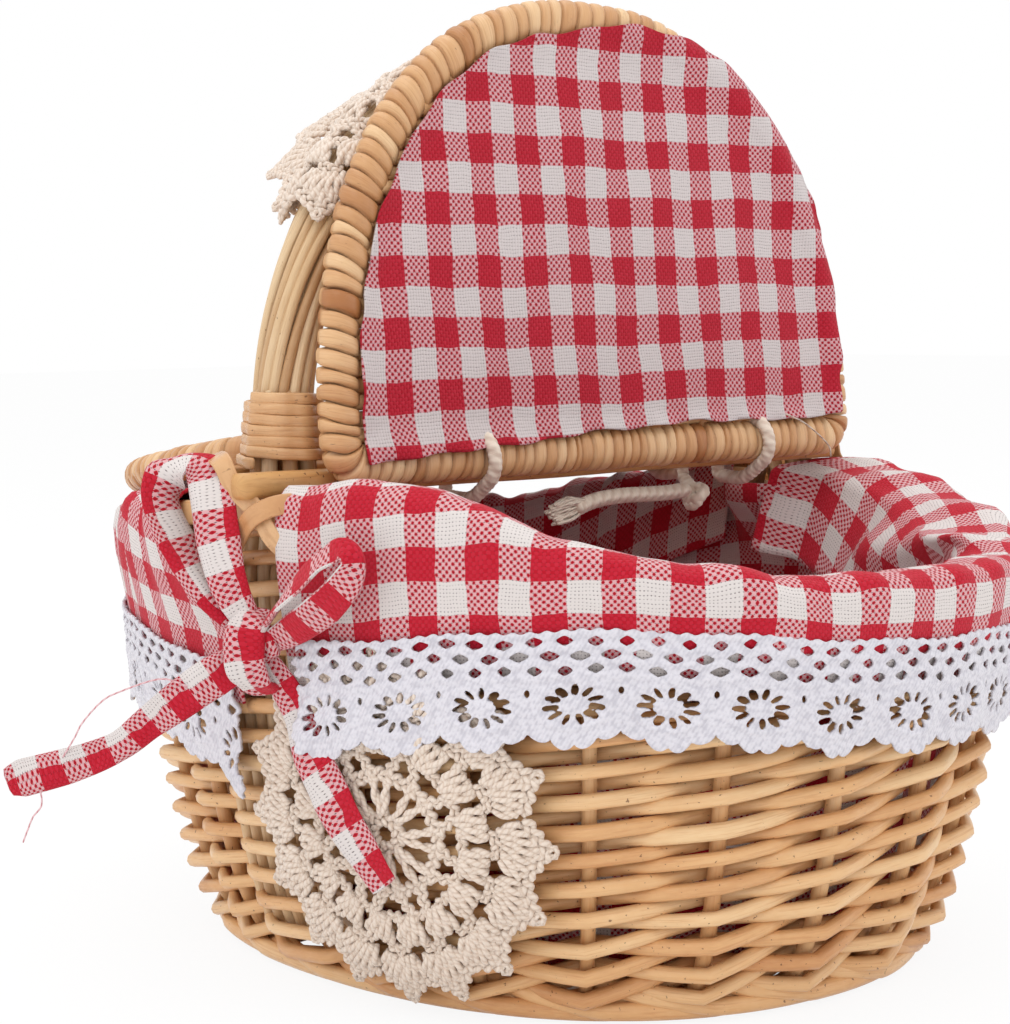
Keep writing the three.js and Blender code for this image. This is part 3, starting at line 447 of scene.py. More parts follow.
# a darker copy of the gingham for the lid cloths: painted shade, as the upright lids get less light from above
shadedLidCheck = ginghamPaint("lidGingham", rgb(164, 6, 31), rgb(205, 196, 195))
laceCotton = closeThreadPaint("laceCotton", rgb(219, 216, 223), rgb(176, 173, 184), 620.0, 0.3)
doilyYarn = yarnPaint("doilyYarn", rgb(234, 219, 205), rgb(198, 172, 150), 2, 0.0016, 0.12)
cordYarn = yarnPaint("cordYarn", rgb(236, 223, 206), rgb(196, 172, 152), 2, 0.004, 0.3)
threadYarn = yarnPaint("threadYarn", rgb(232, 196, 200), rgb(168, 14, 40), 1, 0.0022, 0.05)


# Numbers that come back often

def bump(x, middle, width, power=2):
    # a soft hill of height 1
    return np.exp(-(((x - middle) / width) ** power))


def ramp(x, start, end):
    return np.clip((x - start) / (end - start), 0, 1)


def eased(share):
    return share * share * (3 - 2 * share)


def mixed(first, second, share):
    return first + (second - first) * share


def waves(parts, x, y=0.0):
    # a sum of sines, each with its height, its turns along x and along y, and its start
    return sum(height * np.sin(x * alongX + y * alongY + start) for height, alongX, alongY, start in parts)


def draws(count, low, high):
    return np.array([rng.uniform(low, high) for _ in range(count)])


def ovalReach(c, s, power):
    # the distance to a rounded oval of radius 1, in a direction's cosine and sine
    return (np.abs(c) ** power + np.abs(s) ** power) ** (-1 / power)


def lengths(line):
    # how far along a line each of its points is
    return np.concatenate([[0], np.cumsum(np.linalg.norm(np.diff(line, axis=0), axis=1))])


def unit(vectors):
    return vectors / (np.linalg.norm(vectors, axis=-1, keepdims=True) + 1e-12)


def pointsAt(wanted, reach, points):
    return np.stack([np.interp(wanted, reach, column) for column in np.transpose(points)], -1)


def smoothLine(points, count, closed=False):
    # Catmull-Rom through the points, resampled to an even step
    points = np.asarray(points, float)
    if closed:
        padded = np.concatenate([points[-1:], points, points[:2]])
    else:
        padded = np.concatenate([2 * points[:1] - points[1:2], points, 2 * points[-1:] - points[-2:-1]])
    t = np.linspace(0, 1, 24, endpoint=False)[:, None]
    fine = []
    for k in range(len(padded) - 3):
        a, b, c, d = padded[k : k + 4]
        curve = (2 * a - 5 * b + 4 * c - d) * t**2 + (3 * b - a - 3 * c + d) * t**3
        fine.append(0.5 * (2 * b + (c - a) * t + curve))
    fine = np.concatenate(fine + [padded[-2:-1]])
    reach = lengths(fine)
    made = pointsAt(np.linspace(0, reach[-1], count + 1 if closed else count), reach, fine)
    return made[:-1] if closed else made


def frames(line, across=None, loop=False):
    # tangent and two square directions at each point, carried along without twist
    tangent = unit(np.roll(line, -1, 0) - np.roll(line, 1, 0) if loop else np.gradient(line, axis=0))
    if across is not None:
        first = np.broadcast_to(np.asarray(across, float), tangent.shape)
        first = unit(first - tangent * (first * tangent).sum(1, keepdims=True))
        return tangent, first, np.cross(tangent, first)
    first = np.zeros_like(tangent)
    start = np.array([0, 0, 1.0]) if abs(tangent[0][2]) < 0.9 else np.array([1.0, 0, 0])
    for k in range(len(line)):
        start = unit(start - tangent[k] * start.dot(tangent[k]))
        first[k] = start
    return tangent, first, np.cross(tangent, first)


# Meshes; sizes come in as millimetres and go out as metres

class Bag:
    # gathers points, faces, map places and tones for one mesh
    def __init__(self):
        self.points, self.faces, self.places, self.tones = [], [], [], []
        self.count = 0

    def add(self, points, faces, places, tones):
        # each array of faces has its own number of corners and counts from the first new point
        self.points.append(points)
        self.faces += [face + self.count for face in faces]
        self.places += places
        self.tones.append(np.broadcast_to(np.ravel(tones), (len(points),)))
        self.count += len(points)

    def grid(self, points, u, v, tone=0.5, ring=False, loop=False, shift=0, flip=False):
        # points[i][j]: i runs along (v), j across (u); ring joins j, loop joins i with a shift
        rows, columns = points.shape[:2]
        i, j = np.meshgrid(np.arange(rows - (not loop)), np.arange(columns - (not ring)), indexing="ij")
        i, j = i.ravel(), j.ravel()
        corners = [(i, j), (i, j + 1), (i + 1, j + 1), (i + 1, j)]
        if flip:
            corners = corners[::-1]
        faces = [(a + b // columns * shift) % rows * columns + b % columns for a, b in corners]
        if u.ndim == 1:
            u, v = np.meshgrid(u, v)
        places = np.stack([np.stack([u[a, b], v[a, b]], 1) for a, b in corners], 1)
        self.add(points.reshape(-1, 3), [np.stack(faces, 1)], [places.reshape(-1, 2) * mm], tone)

    def sweep(self, line, shape, across=None, tone=0.5, loop=False, width=None):
        # a profile carried along a line; width gives the map's size round the profile
        line = np.asarray(line, float)
        along, first, second = frames(line, across, loop)
        shape = np.broadcast_to(shape, (len(line), *np.shape(shape)[-2:]))
        ring = line[:, None] + shape[..., :1] * first[:, None] + shape[..., 1:] * second[:, None]
        sides = ring.shape[1]
        v = lengths(np.append(line, line[:1], 0))
        if not loop:
            # rounded ends, each drawn together in one point
            v = v[:-1]
            thick = np.abs(shape).min(axis=2).max(axis=1) + 0.2
            ends = [line[k] + sign * along[k] * thick[k] * 0.4 for k, sign in ((0, -1), (-1, 1))]
            inner = [end + (ring[k] - line[k]) * 0.6 for k, end in zip((0, -1), ends)]
            tips = [np.repeat(end[None], sides, 0) for end in ends]
            ring = np.concatenate([[tips[0]], [inner[0]], ring, [inner[1]], [tips[1]]])
            v = np.concatenate([[v[0] - 1.2, v[0] - 0.8], v, [v[-1] + 0.8, v[-1] + 1.2]])
        u = np.arange(sides + 1) / sides * (width or 1 / mm)
        self.grid(ring, u, v, tone, ring=True, loop=loop)

    def tube(self, line, radius, sides=8, tone=0.5, spin=0.0):
        turn = np.arange(sides) / sides * 2 * np.pi + spin
        radius = np.broadcast_to(radius, (len(line),))
        self.sweep(line, radius[:, None, None] * np.stack([np.cos(turn), np.sin(turn)], 1), None, tone)


def piece(name, bag, material, nodes=(), slot=None, body="root"):
    # the bag's faces as one object at the origin, riding on a body of the frame
    totals = np.concatenate([np.full(len(f), f.shape[1]) for f in bag.faces])
    corners = np.concatenate([f.ravel() for f in bag.faces])
    mesh = bpy.data.meshes.new(name)
    mesh.vertices.add(bag.count)
    mesh.vertices.foreach_set("co", np.concatenate(bag.points).ravel() * mm)
    mesh.loops.add(len(corners))
    mesh.loops.foreach_set("vertex_index", corners)
    mesh.polygons.add(len(totals))
    mesh.polygons.foreach_set("loop_start", np.cumsum(totals) - totals)
    mesh.polygons.foreach_set("loop_total", totals)
    mesh.polygons.foreach_set("use_smooth", np.ones(len(totals), bool))
    mesh.uv_layers.new(name="UVMap")
    mesh.uv_layers[0].data.foreach_set("uv", np.concatenate(bag.places).ravel())
    tones = mesh.attributes.new("tone", "FLOAT", "POINT")
    tones.data.foreach_set("value", np.concatenate(bag.tones))
    mesh.update(calc_edges=True)
    mesh.validate()
    mesh.materials.append(material)
    made = bpy.data.objects.new(name, mesh)
    scene.collection.objects.link(made)
    bpy.ops.object.select_all(action="DESELECT")
    bpy.context.view_layer.objects.active = made
    made.select_set(True)
    bpy.ops.object.mode_set(mode="EDIT")
    bpy.ops.mesh.select_all(action="SELECT")
    bpy.ops.mesh.remove_doubles(threshold=2e-6)
    bpy.ops.object.mode_set(mode="OBJECT")
    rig.ride(made, body)
    if nodes:
        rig.replaces(made, *nodes)
    if slot:
        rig.slot(made, slot)
    print("  piece", name, len(mesh.polygons), "faces")
    return made


def thicken(made, thickness, offset=0.0):
    bpy.context.view_layer.objects.active = made
    wall = made.modifiers.new("wall", "SOLIDIFY")
    wall.thickness = thickness * mm
    wall.offset = offset
    bpy.ops.object.modifier_apply(modifier=wall.name)


# Cut sheets: the part of a flat map where a value is above zero, with a clean edge

squareCases = {
    1: [0, 4, 7], 2: [1, 5, 4], 3: [0, 1, 5, 7], 4: [2, 6, 5], 5: [0, 4, 5, 2, 6, 7], 6: [1, 2, 6, 4],
    7: [0, 1, 2, 6, 7], 8: [3, 7, 6], 9: [0, 4, 6, 3], 10: [1, 5, 6, 3, 7, 4], 11: [0, 1, 5, 6, 3],
    12: [2, 3, 7, 5], 13: [0, 4, 5, 2, 3], 14: [1, 2, 3, 7, 4], 15: [0, 1, 2, 3],
}


def cutSheet(bag, u, v, inside, place, shift=(0, 0)):
    # inside(u, v) is above zero in the sheet; place(u, v) gives the points; each square of the
    # map has corners 0 to 3 and cut edges 4 to 7
    uu, vv = np.meshgrid(u, v, indexing="ij")
    value = inside(uu, vv)
    value = np.where(np.abs(value) < 1e-6, 1e-6, value)
    cutU = np.clip(value[:-1] / (value[:-1] - value[1:] + 1e-12), 0.02, 0.98)
    cutV = np.clip(value[:, :-1] / (value[:, :-1] - value[:, 1:] + 1e-12), 0.02, 0.98)
    flat = np.concatenate([
        np.stack([uu, vv], -1).reshape(-1, 2),
        np.stack([mixed(uu[:-1], uu[1:], cutU), vv[:-1]], -1).reshape(-1, 2),
        np.stack([uu[:, :-1], mixed(vv[:, :-1], vv[:, 1:], cutV)], -1).reshape(-1, 2),
    ])
    rows, columns = uu.shape
    i, j = np.meshgrid(np.arange(rows - 1), np.arange(columns - 1), indexing="ij")
    node = i * columns + j
    edgeU = rows * columns + node
    edgeV = (2 * rows - 1) * columns + i * (columns - 1) + j
    around = [node, node + columns, node + columns + 1, node + 1, edgeU, edgeV + columns - 1, edgeU + 1, edgeV]
    filled = value > 0
    kind = filled[:-1, :-1] + 2 * filled[1:, :-1] + 4 * filled[1:, 1:] + 8 * filled[:-1, 1:]
    faces = [np.stack([around[k][kind == case] for k in ring], 1) for case, ring in squareCases.items()]
    faces = [face for face in faces if len(face)]
    used = np.unique(np.concatenate([face.ravel() for face in faces]))
    order = np.zeros(len(flat), int)
    order[used] = np.arange(len(used))
    places = [(flat[face].reshape(-1, 2) + shift) * mm for face in faces]
    bag.add(place(*flat[used].T), [order[face] for face in faces], places, 0.5)


# The wall's shape: oval in plan, bellied in height

body = {
    "rimX": 114, "rimY": 137, "baseX": 88, "baseY": 105.5, "ovalPower": 2.2,
    "bellyPower": 1.95, "bellyHeight": 125, "rimLow": 112, "rimRise": 22, "nearPower": 2.5, "farPower": 4.5,
}


def belly(height):
    share = np.clip(height / body["bellyHeight"], 0, 1)
    return (1 - (1 - share) ** body["bellyPower"]) ** (1 / body["bellyPower"])


def wall(bearing, height):
    bearing, height = np.broadcast_arrays(bearing, height)
    c, s = np.cos(bearing), np.sin(bearing)
    reach = ovalReach(c, s, body["ovalPower"])
    x = mixed(body["baseX"], body["rimX"], belly(height)) * reach * c
    y = mixed(body["baseY"], body["rimY"], belly(height)) * reach * s
    return np.stack([x, y, height], -1)


def wallNormal(bearing, height):
    low = np.maximum(height - 0.4, 0.25)
    around = wall(bearing + 0.01, height) - wall(bearing - 0.01, height)
    return unit(np.cross(around, wall(bearing, low + 0.8) - wall(bearing, low)))


def onWall(bearing, height, out):
    return wall(bearing, height) + wallNormal(bearing, height) * np.asarray(out)[..., None]


def overWall(bearing, height, out):
    # the same, also above the belly's end, where the wall goes straight up
    points = onWall(bearing, np.minimum(height, body["bellyHeight"]), out)
    points[:, 2] = height
    return points


def rimHeight(bearing):
    along = np.cos(bearing)
    power = np.where(along > 0, body["farPower"], body["nearPower"])
    return body["rimLow"] + body["rimRise"] * np.abs(along) ** power


# bearings against length round the rim, and climb against height, for even spacing
fineBearing = np.linspace(0, 2 * np.pi, 2881)
rimReach = lengths(wall(fineBearing, body["bellyHeight"]))
rimLength = rimReach[-1]
fineHeight = np.concatenate([np.linspace(0, 4, 200) ** 2 / 4, np.linspace(4.05, 135, 800)])
climbReach = lengths(np.stack([fineHeight, 29 * belly(fineHeight)], 1))


def bearingAt(length):
    turns = np.floor(length / rimLength)
    return np.interp(np.mod(length, rimLength), rimReach, fineBearing) + 2 * np.pi * turns


def heightAt(climb):
    return np.interp(climb, climbReach, fineHeight)


def climbAt(height):
    return np.interp(height, fineHeight, climbReach)


# Side weave: rods that rise one place per stake, over one and under one

print("stage: side weave")
weave = {
    "stakes": 22, "rise": 4.08, "rodRadius": 2.1, "stakeRadius": 2.15, "stakeOut": -6.1, "reach": 4.35,
    "hold": 1.2, "handleHold": 12.4, "kink": 0.175, "kinkWidth": 3.0, "lean": 0.11,
    "stepsPerStake": 10, "firstClimb": 3.2, "topClear": 1.5, "lowest": 2.6, "joints": [9, 11, 13],
}
stakeGap = rimLength / weave["stakes"]


def rodOffset(place, lane):
    # out at even stakes, in at odd ones; at the two handles it stays over or under the whole leg
    def hold(stake):
        return np.where(np.mod(stake, weave["stakes"] / 2) == 0, weave["handleHold"], weave["hold"])

    before, nearest = np.floor(place), np.round(place)
    left, right = hold(before), hold(before + 1)
    share = np.clip(((place - before) * stakeGap - left) / (stakeGap - left - right), 0, 1)
    side = np.where(np.mod(before - lane, 2) == 0, 1.0, -1.0)
    kink = weave["kink"] * bump((place - nearest) * stakeGap, 0, weave["kinkWidth"])
    kink = np.where(np.mod(nearest, weave["stakes"] / 2) == 0, 0, kink)
    return side * (1 - 2 * (0.6 * share + 0.4 * eased(share))) * (1 + kink)


def rodRuns(keep, steps):
    # where a rod shows, cut where a new one starts now and then, behind a stake
    ends = np.flatnonzero(np.diff(np.concatenate([[0], keep.astype(int), [0]])))
    for a, b in zip(ends[::2], ends[1::2]):
        if b - a < 6:
            continue
        cuts = [a]
        while b - cuts[-1] > weave["joints"][-1] * steps:
            cuts.append(cuts[-1] + rng.choice(weave["joints"]) * steps)
        for first, last in zip(cuts, cuts[1:] + [b]):
            yield slice(first, min(last + 1, b))


def weaveRods():
    bag = Bag()
    steps, stakeOut = weave["stepsPerStake"], weave["stakeOut"]
    for lane in range(weave["stakes"]):
        end = int(climbAt(134) / weave["rise"]) + 2
        place = lane + np.arange(0, end * steps + 1) / steps
        stakes = np.arange(lane, lane + end + 2)
        wobble = np.interp(place, stakes, draws(len(stakes), -0.45, 0.45))
        climb = weave["firstClimb"] + weave["rise"] * (place - lane) + wobble
        bearing, height = bearingAt(place * stakeGap), heightAt(climb)
        thick = np.interp(place, stakes[::3], draws(len(stakes[::3]), 0.86, 1.12))
        for s in rodRuns(height < rimHeight(bearing) - weave["topClear"], steps):
            out = stakeOut + weave["reach"] * rodOffset(place[s], lane)
            line = onWall(bearing[s], height[s], out)
            level = onWall(bearing[s], height[s], stakeOut)[:, 2] + weave["lean"] * (out - stakeOut)
            line[:, 2] = mixed(line[:, 2], level, ramp(height[s], 15, 40))
            line[:, 2] = np.maximum(line[:, 2], weave["lowest"])
            tone = rng.betavariate(2.2, 2.6)
            bag.tube(line, weave["rodRadius"] * thick[s], 9, tone, spin=rng.uniform(0, 6))
    return bag


def stakeRods():
    bag = Bag()
    for k in range(weave["stakes"]):
        if k % (weave["stakes"] // 2) == 0:
            continue
        bearing = bearingAt(k * stakeGap)
        height = heightAt(np.linspace(2.0, climbAt(rimHeight(bearing) - 2.2), 26))
        line = onWall(bearing, height, weave["stakeOut"])
        line[:, 2] = np.maximum(line[:, 2], 2.4)
        bag.tube(line, weave["stakeRadius"] * rng.uniform(0.94, 1.06), 9, rng.uniform(0.15, 0.6))
    return bag


piece("sideWeave", weaveRods(), willow, ["side_weave"], "willow_weave")
piece("sideStakes", stakeRods(), willow, [f"stake_{k:02d}" for k in range(1, 21)], "willow_weave")


print("stage: foot border and base")
foot = {"radius": 2.4, "span": 3.4, "ringsOut": (-7.4, -3.2)}
mat = {"rows": 22, "spokes": 22, "height": 5.3, "wave": 1.35, "rod": 2.0, "spoke": 1.6}


def footRods():
    # each border rod comes from inside, passes two stakes and tucks in below the next
    bag = Bag()
    t = np.linspace(0, 1, 40)
    for k in range(weave["stakes"]):
        bearing = bearingAt((k + t * foot["span"]) * stakeGap)
        out = np.interp(t, [0, 0.16, 0.34, 0.66, 0.86, 1], [-9.6, -4.2, -1.2, -1.9, -5.5, -8.6])
        line = onWall(bearing, heightAt(9.5 - 8.2 * t**0.9), out)
        line[:, 2] = np.maximum(line[:, 2], foot["radius"] + 0.02)
        bag.tube(line, foot["radius"] * rng.uniform(0.94, 1.05), 10, rng.betavariate(2.2, 2.4))
    for out in foot["ringsOut"]:
        bearing = np.linspace(0, 2 * np.pi, 181)[:-1]
        line = onWall(bearing, 1.0, out)
        line[:, 2] = foot["radius"] + 0.05 * np.sin(bearing * 9)
        bag.tube(line, foot["radius"] * 0.97, 10, 0.45)
    return bag


def baseMat():
    # flat oval mat: rods go round over and under the spokes
    bag = Bag()

    def flat(bearing, inset, share=1.0):
        points = wall(bearing, 0.0) * (1, 1, 0)
        return points * (1 - inset / np.linalg.norm(points, axis=-1, keepdims=True)) * share

    for row in range(mat["rows"]):
        bearing = np.linspace(0, 2 * np.pi, 133)[:-1]
        line = flat(bearing, 9.8, 1 - (row + 0.5) / (mat["rows"] + 1.2))
        line[:, 2] = mat["height"] + mat["wave"] * np.cos(bearing * mat["spokes"] / 2 + row * np.pi)
        bag.tube(line, mat["rod"], 7, rng.uniform(0.2, 0.8))
    for k in range(mat["spokes"] // 2):
        tip = flat(k * 2 * np.pi / mat["spokes"], 10)
        line = np.linspace(-tip, tip, 12)
        line[:, 2] = mat["height"]
        bag.tube(line, mat["spoke"], 7, rng.uniform(0.2, 0.7))
    return bag


piece("footBorder", footRods(), willow, ["foot_border"], "willow_weave")
piece("baseMat", baseMat(), willow, ["base_mat"], "willow_weave")


# Handle: eight rods that open into a fan in the wall at each end

print("stage: handle")
handle = {
    "spring": 150, "rise": 104, "power": 2.1, "rods": 8, "radius": 2.2, "halfSpan": 98.5,
    "ringTop": 6.14, "ringFoot": 7.7, "fanTop": 134, "fanFoot": 112, "rodFoot": 12,
    "fanSpacing": 5.5, "depth": -6.6, "fineRods": 16, "fineRadius": 1.45, "fineTwist": 1.5,
}


def archPoint(sweep):
    c, s = -np.cos(sweep), np.sin(sweep)
    reach = ovalReach(c, s, handle["power"])
    return np.stack([handle["halfSpan"] * reach * c, 0 * c, handle["spring"] + handle["rise"] * reach * s], -1)


def archOutward(sweep):
    return unit(np.stack([-np.cos(sweep) * handle["rise"], 0 * sweep, np.sin(sweep) * handle["halfSpan"]], -1))


def round3d(centre, outward, ring, turn):
    # points round the arch: turn 0 is outward, a quarter is towards the rear
    points = centre + outward * (ring * np.cos(turn))[:, None]
    points[:, 1] += ring * np.sin(turn)
    return points


def handleRing(height):
    share = ramp(height, handle["fanTop"], handle["spring"] + 10)
    return mixed(handle["ringFoot"], handle["ringTop"], share)


def fanPoint(side, turn, height):
    closing = eased(ramp(height, handle["fanFoot"], handle["fanTop"]))
    spacing = mixed(handle["fanSpacing"], 2 * np.pi * handle["ringFoot"] / handle["rods"], closing)
    along = turn / (2 * np.pi) * handle["rods"] * spacing
    bend = np.maximum(closing / handle["ringFoot"], 1e-5)
    y = np.sin(along * bend) / bend
    back = (1 - np.cos(along * bend)) / bend
    flat = onWall(np.arcsin(y / body["rimY"]), height, handle["depth"])
    outer = mixed(flat[:, 0], handle["halfSpan"] + handle["ringFoot"], closing)
    return np.stack([side * (outer - back), y, mixed(flat[:, 2], height, closing)], -1)


def handleLeg(side, turn):
    sweep = np.linspace(0, 0.12, 6)
    centre = archPoint(sweep)
    top = round3d(centre, archOutward(sweep), handleRing(centre[:, 2]), turn) * (-side, 1, 1)
    heights = np.linspace(handle["rodFoot"], handle["fanTop"], 15)
    return smoothLine(np.concatenate([fanPoint(side, turn, heights), top]), 60)


def handleRods():
    bag = Bag()
    for k in range(handle["rods"]):
        turn = 2 * np.pi * (k + 0.5 - handle["rods"] / 2) / handle["rods"]
        for side in (-1, 1):
            bag.tube(handleLeg(side, turn), handle["radius"] * rng.uniform(0.94, 1.04), 10, rng.uniform(0.1, 0.9))
    # above the lashing a core and finer rods twisted round it
    sweep = np.linspace(0.04, np.pi - 0.04, 150)
    centre, outward = archPoint(sweep), archOutward(sweep)
    bag.tube(centre, handle["ringTop"] - 0.4, 12, 0.9)
    for k in range(handle["fineRods"]):
        wander = np.interp(sweep, np.linspace(0, np.pi, 9), draws(9, -0.09, 0.09))
        turn = 2 * np.pi * k / handle["fineRods"] - handle["fineTwist"] * sweep + wander
        lift = np.interp(sweep, np.linspace(0, np.pi, 7), draws(7, -0.35, 0.3))
        line = round3d(centre, outward, handle["ringTop"] + 0.75 + lift, turn)
        bag.tube(line, handle["fineRadius"] * rng.uniform(0.88, 1.08), 9, rng.uniform(0.05, 0.95))
    return bag


piece("handleRods", handleRods(), handleWillow, [f"handle_rod_{k}" for k in range(1, 9)], "willow_rod")

lashing = {"turns": 6, "foot": 142.6, "pitch": 2.92, "width": 3.2, "thickness": 1.3, "slack": 0.8}


def handleLashing(side):
    bag = Bag()
    turn = np.linspace(-0.2, 2 * np.pi * lashing["turns"], lashing["turns"] * 44)
    height = lashing["foot"] + lashing["width"] / 2 + lashing["pitch"] * turn / (2 * np.pi)
    ring = handleRing(height) + handle["radius"] + lashing["slack"] + lashing["thickness"] / 2
    ring = ring + 0.45 * np.cos(8 * turn + 0.5) + 0.15 * np.sin(turn * 1.7) + 1.3 * ramp(height, 149, 143)
    out = np.stack([side * np.cos(turn), np.sin(turn), 0 * turn], 1)
    up = np.clip((height - handle["spring"]) / handle["rise"], 0, 1)
    middle = handle["halfSpan"] * (1 - up ** handle["power"]) ** (1 / handle["power"])
    line = np.stack([side * middle, 0 * turn, height + 0.15 * np.sin(turn * 2.3)], 1) + out * ring[:, None]
    a, b = lashing["thickness"] / 2, lashing["width"] / 2
    half = [(-1, -0.8), (0, -1), (0.8, -0.86), (1, -0.5)]
    shape = np.array(half + [(1.1, 0)] + [(x, -y) for x, y in half[::-1]]) * (a, b)
    bag.sweep(line, shape, out, 0.35)
    return bag


piece("nearLashing", handleLashing(-1), cane, ["handle_lashing_near"], "cane_lashing")
piece("farLashing", handleLashing(1), cane, ["handle_lashing_far"], "cane_lashing")


# Cross rods, the rim band and the crossed cane strips

print("stage: cross rods")
crossRod = {
    "width": 7.2, "foot": 134.3, "top": 142.5, "shown": 6.9, "corner": 2.2, "outer": 17.9,
    "near": {-1: 123, 1: 112}, "far": 103,
}
rimBand = {"height": 7, "thickness": 2.4, "corner": 1.0, "out": 0.3}
strip = {
    "width": 5.4, "thickness": 1.1, "corner": 0.5,
    "nearOver": [
        (-112, 14, 144.2), (-117.5, 6, 146), (-121.8, -3, 146.2), (-123.6, -8.1, 144.9),
        (-122.4, -11, 139.3), (-119.9, -18, 132.6), (-118.4, -23.1, 125.6), (-112.5, -27, 119),
    ],
    "farOver": [
        (-97, -14, 143.6), (-103, -13.8, 143), (-106.5, -13.5, 140.5), (-108.5, -13, 136.5), (-112, -13, 133.2),
        (-118, -15, 130), (-119.6, -19, 126), (-118.4, -23.1, 121.6), (-112.5, -27, 116),
    ],
    "under": [
        (-111.5, -28, 134), (-115.4, -26.5, 135), (-119.6, -23, 134), (-122, -18.2, 131.2),
        (-121.6, -13.2, 127.2), (-120.6, -8.2, 122.4), (-118.2, -3.5, 117.8), (-113, 0.5, 112),
    ],
    "farDrop": [6, 6, 5.5, 4, 2.5, 1.5, 0.5, 0],
    "facing": [
        (0, 0, 1), (0.5, 0, 0.9), (1, -0.2, 0.4), (1, -0.3, 0.1), (1, -0.25, 0), (1, -0.2, 0), (1, -0.2, -0.1),
    ],
}


def roundBar(width, height, corner):
    # a rounded rectangle as a ring of points, from its middle
    turn = np.radians(np.arange(0, 360, 90)[:, None] + np.arange(4) * 30)
    middle = np.array([(1, 1), (-1, 1), (-1, -1), (1, -1)]) * (width / 2 - corner, height / 2 - corner)
    return (middle[:, None] + corner * np.stack([np.cos(turn), np.sin(turn)], -1)).reshape(-1, 2)


def crossRods():
    bag = Bag()
    shape = roundBar(crossRod["width"], crossRod["shown"], crossRod["corner"])
    shape[shape[:, 1] < 0, 1] *= 0.98
    for side in (-1, 1):
        x = np.linspace(-crossRod["near"][side], crossRod["far"], 70)
        y = side * (crossRod["outer"] - crossRod["width"] / 2) + 0.25 * np.sin(x * 0.06 + side)
        z = crossRod["top"] - crossRod["shown"] / 2 + 0.12 * np.sin(x * 0.09)
        bag.sweep(np.stack([x, y, z], 1), shape, (0, 1, 0), 0.45 + side * 0.15)
    return bag


def rimBandRod():
    bag = Bag()
    bearing = np.linspace(0, 2 * np.pi, 241)[:-1]
    middle = rimHeight(bearing) - rimBand["height"] / 2
    line = onWall(bearing, middle, rimBand["out"] + rimBand["thickness"] / 2)
    shape = roundBar(rimBand["thickness"], rimBand["height"], rimBand["corner"])
    bag.sweep(line, shape, wallNormal(bearing, middle), loop=True)
    return bag


def crossStrips(side):
    # over the ends of the cross rods, crossed on the wall and away below the collar; the far rim
    # lies lower, so the far strips have a route and a start of their own
    bag = Bag()
    over = strip["nearOver"] if side < 0 else strip["farOver"]
    under = np.array(strip["under"]) - np.outer(strip["farDrop"], (0, 0, max(side, 0)))
    shape = roundBar(strip["thickness"], strip["width"], strip["corner"])
    for route, facing, tone in ((over, strip["facing"], 0.3), (under, strip["facing"][3:], 0.6)):
        line = smoothLine(np.array(route) * (-side, 1, 1), 60)
        bag.sweep(line, shape, smoothLine(np.array(facing) * (side, 1, 1), 60), tone)
    return bag


piece("crossRods", crossRods(), barkWillow, ["cross_rod_front", "cross_rod_rear"], "willow_rod")
piece("rimBand", rimBandRod(), willow, ["rim_band"], "willow_weave")
piece("nearCrossStrips", crossStrips(-1), cane, ["cross_lashing_near"], "cane_lashing")
piece("farCrossStrips", crossStrips(1), cane, ["cross_lashing_far"], "cane_lashing")


# Lids: a cane-wound frame, a woven panel and gingham on the inner face

print("stage: lids")
lid = {
    "halfWidth": 96.8, "depth": 125.6, "power": 2.25, "corner": 6.5, "radius": 4.7, "pitch": 4.7,
    "footPitch": 3.8, "inner": 1.42, "rodPitch": 4.4, "ribPitch": 19.4, "panelRadius": 2.2, "ribRadius": 1.6,
    "panelWave": 0.92, "clothOut": 3.9, "clothThickness": 0.5, "clothGrid": 1.2,
}
lidPlaces = {
    "front_lid": {"axis": (-23, 142.5), "turn": math.radians(-5.3), "cloth": -1},
    "rear_lid": {"axis": (23, 145.5), "turn": math.radians(-98), "cloth": 1},
}
winding = {
    "stations": [0, 0.12, 0.26, 0.5, 0.74, 0.9], "dome": [-1.9, 0.14, 0.38, 0.42, 0.38, 0.08],
    "domeScale": 0.55 / 0.42, "columns": 20, "turnLength": 31.0, "under": 0.25,
}
# how far the cloth's raw edge lies inside the lid's outline, by direction, and above its foot
clothEdge = {
    "angle": [-30, -12, 7, 19, 29, 40, 53, 63, 76, 93, 109, 120, 134, 146, 155, 168, 182, 194, 215],
    "front_lid": [2, 1, -4.3, -6.3, -5.5, -3.2, -3.8, -2.4, 0.7, 3.2, 4.4, 4.6, 4.8, 5, 5.4, 5, 5.4, 5.6, 5.6],
    "rear_lid": [5.6] * 19,
    "footU": [-90, -37, 18, 96],
    "front_lidFoot": [0.8, 4.2, 7.4, 6.6],
    "rear_lidFoot": [7, 7, 7, 7],
}


def lidPoint(name, u, y, h):
    # a point of the lid's own frame: u across, y through its thickness, h up from the hinge
    u, y, h = np.broadcast_arrays(u, y, h)
    axisY, axisZ = lidPlaces[name]["axis"]
    c, s = math.cos(lidPlaces[name]["turn"]), math.sin(lidPlaces[name]["turn"])
    return np.stack([u, axisY + y * c - h * s, axisZ + y * s + h * c], -1)


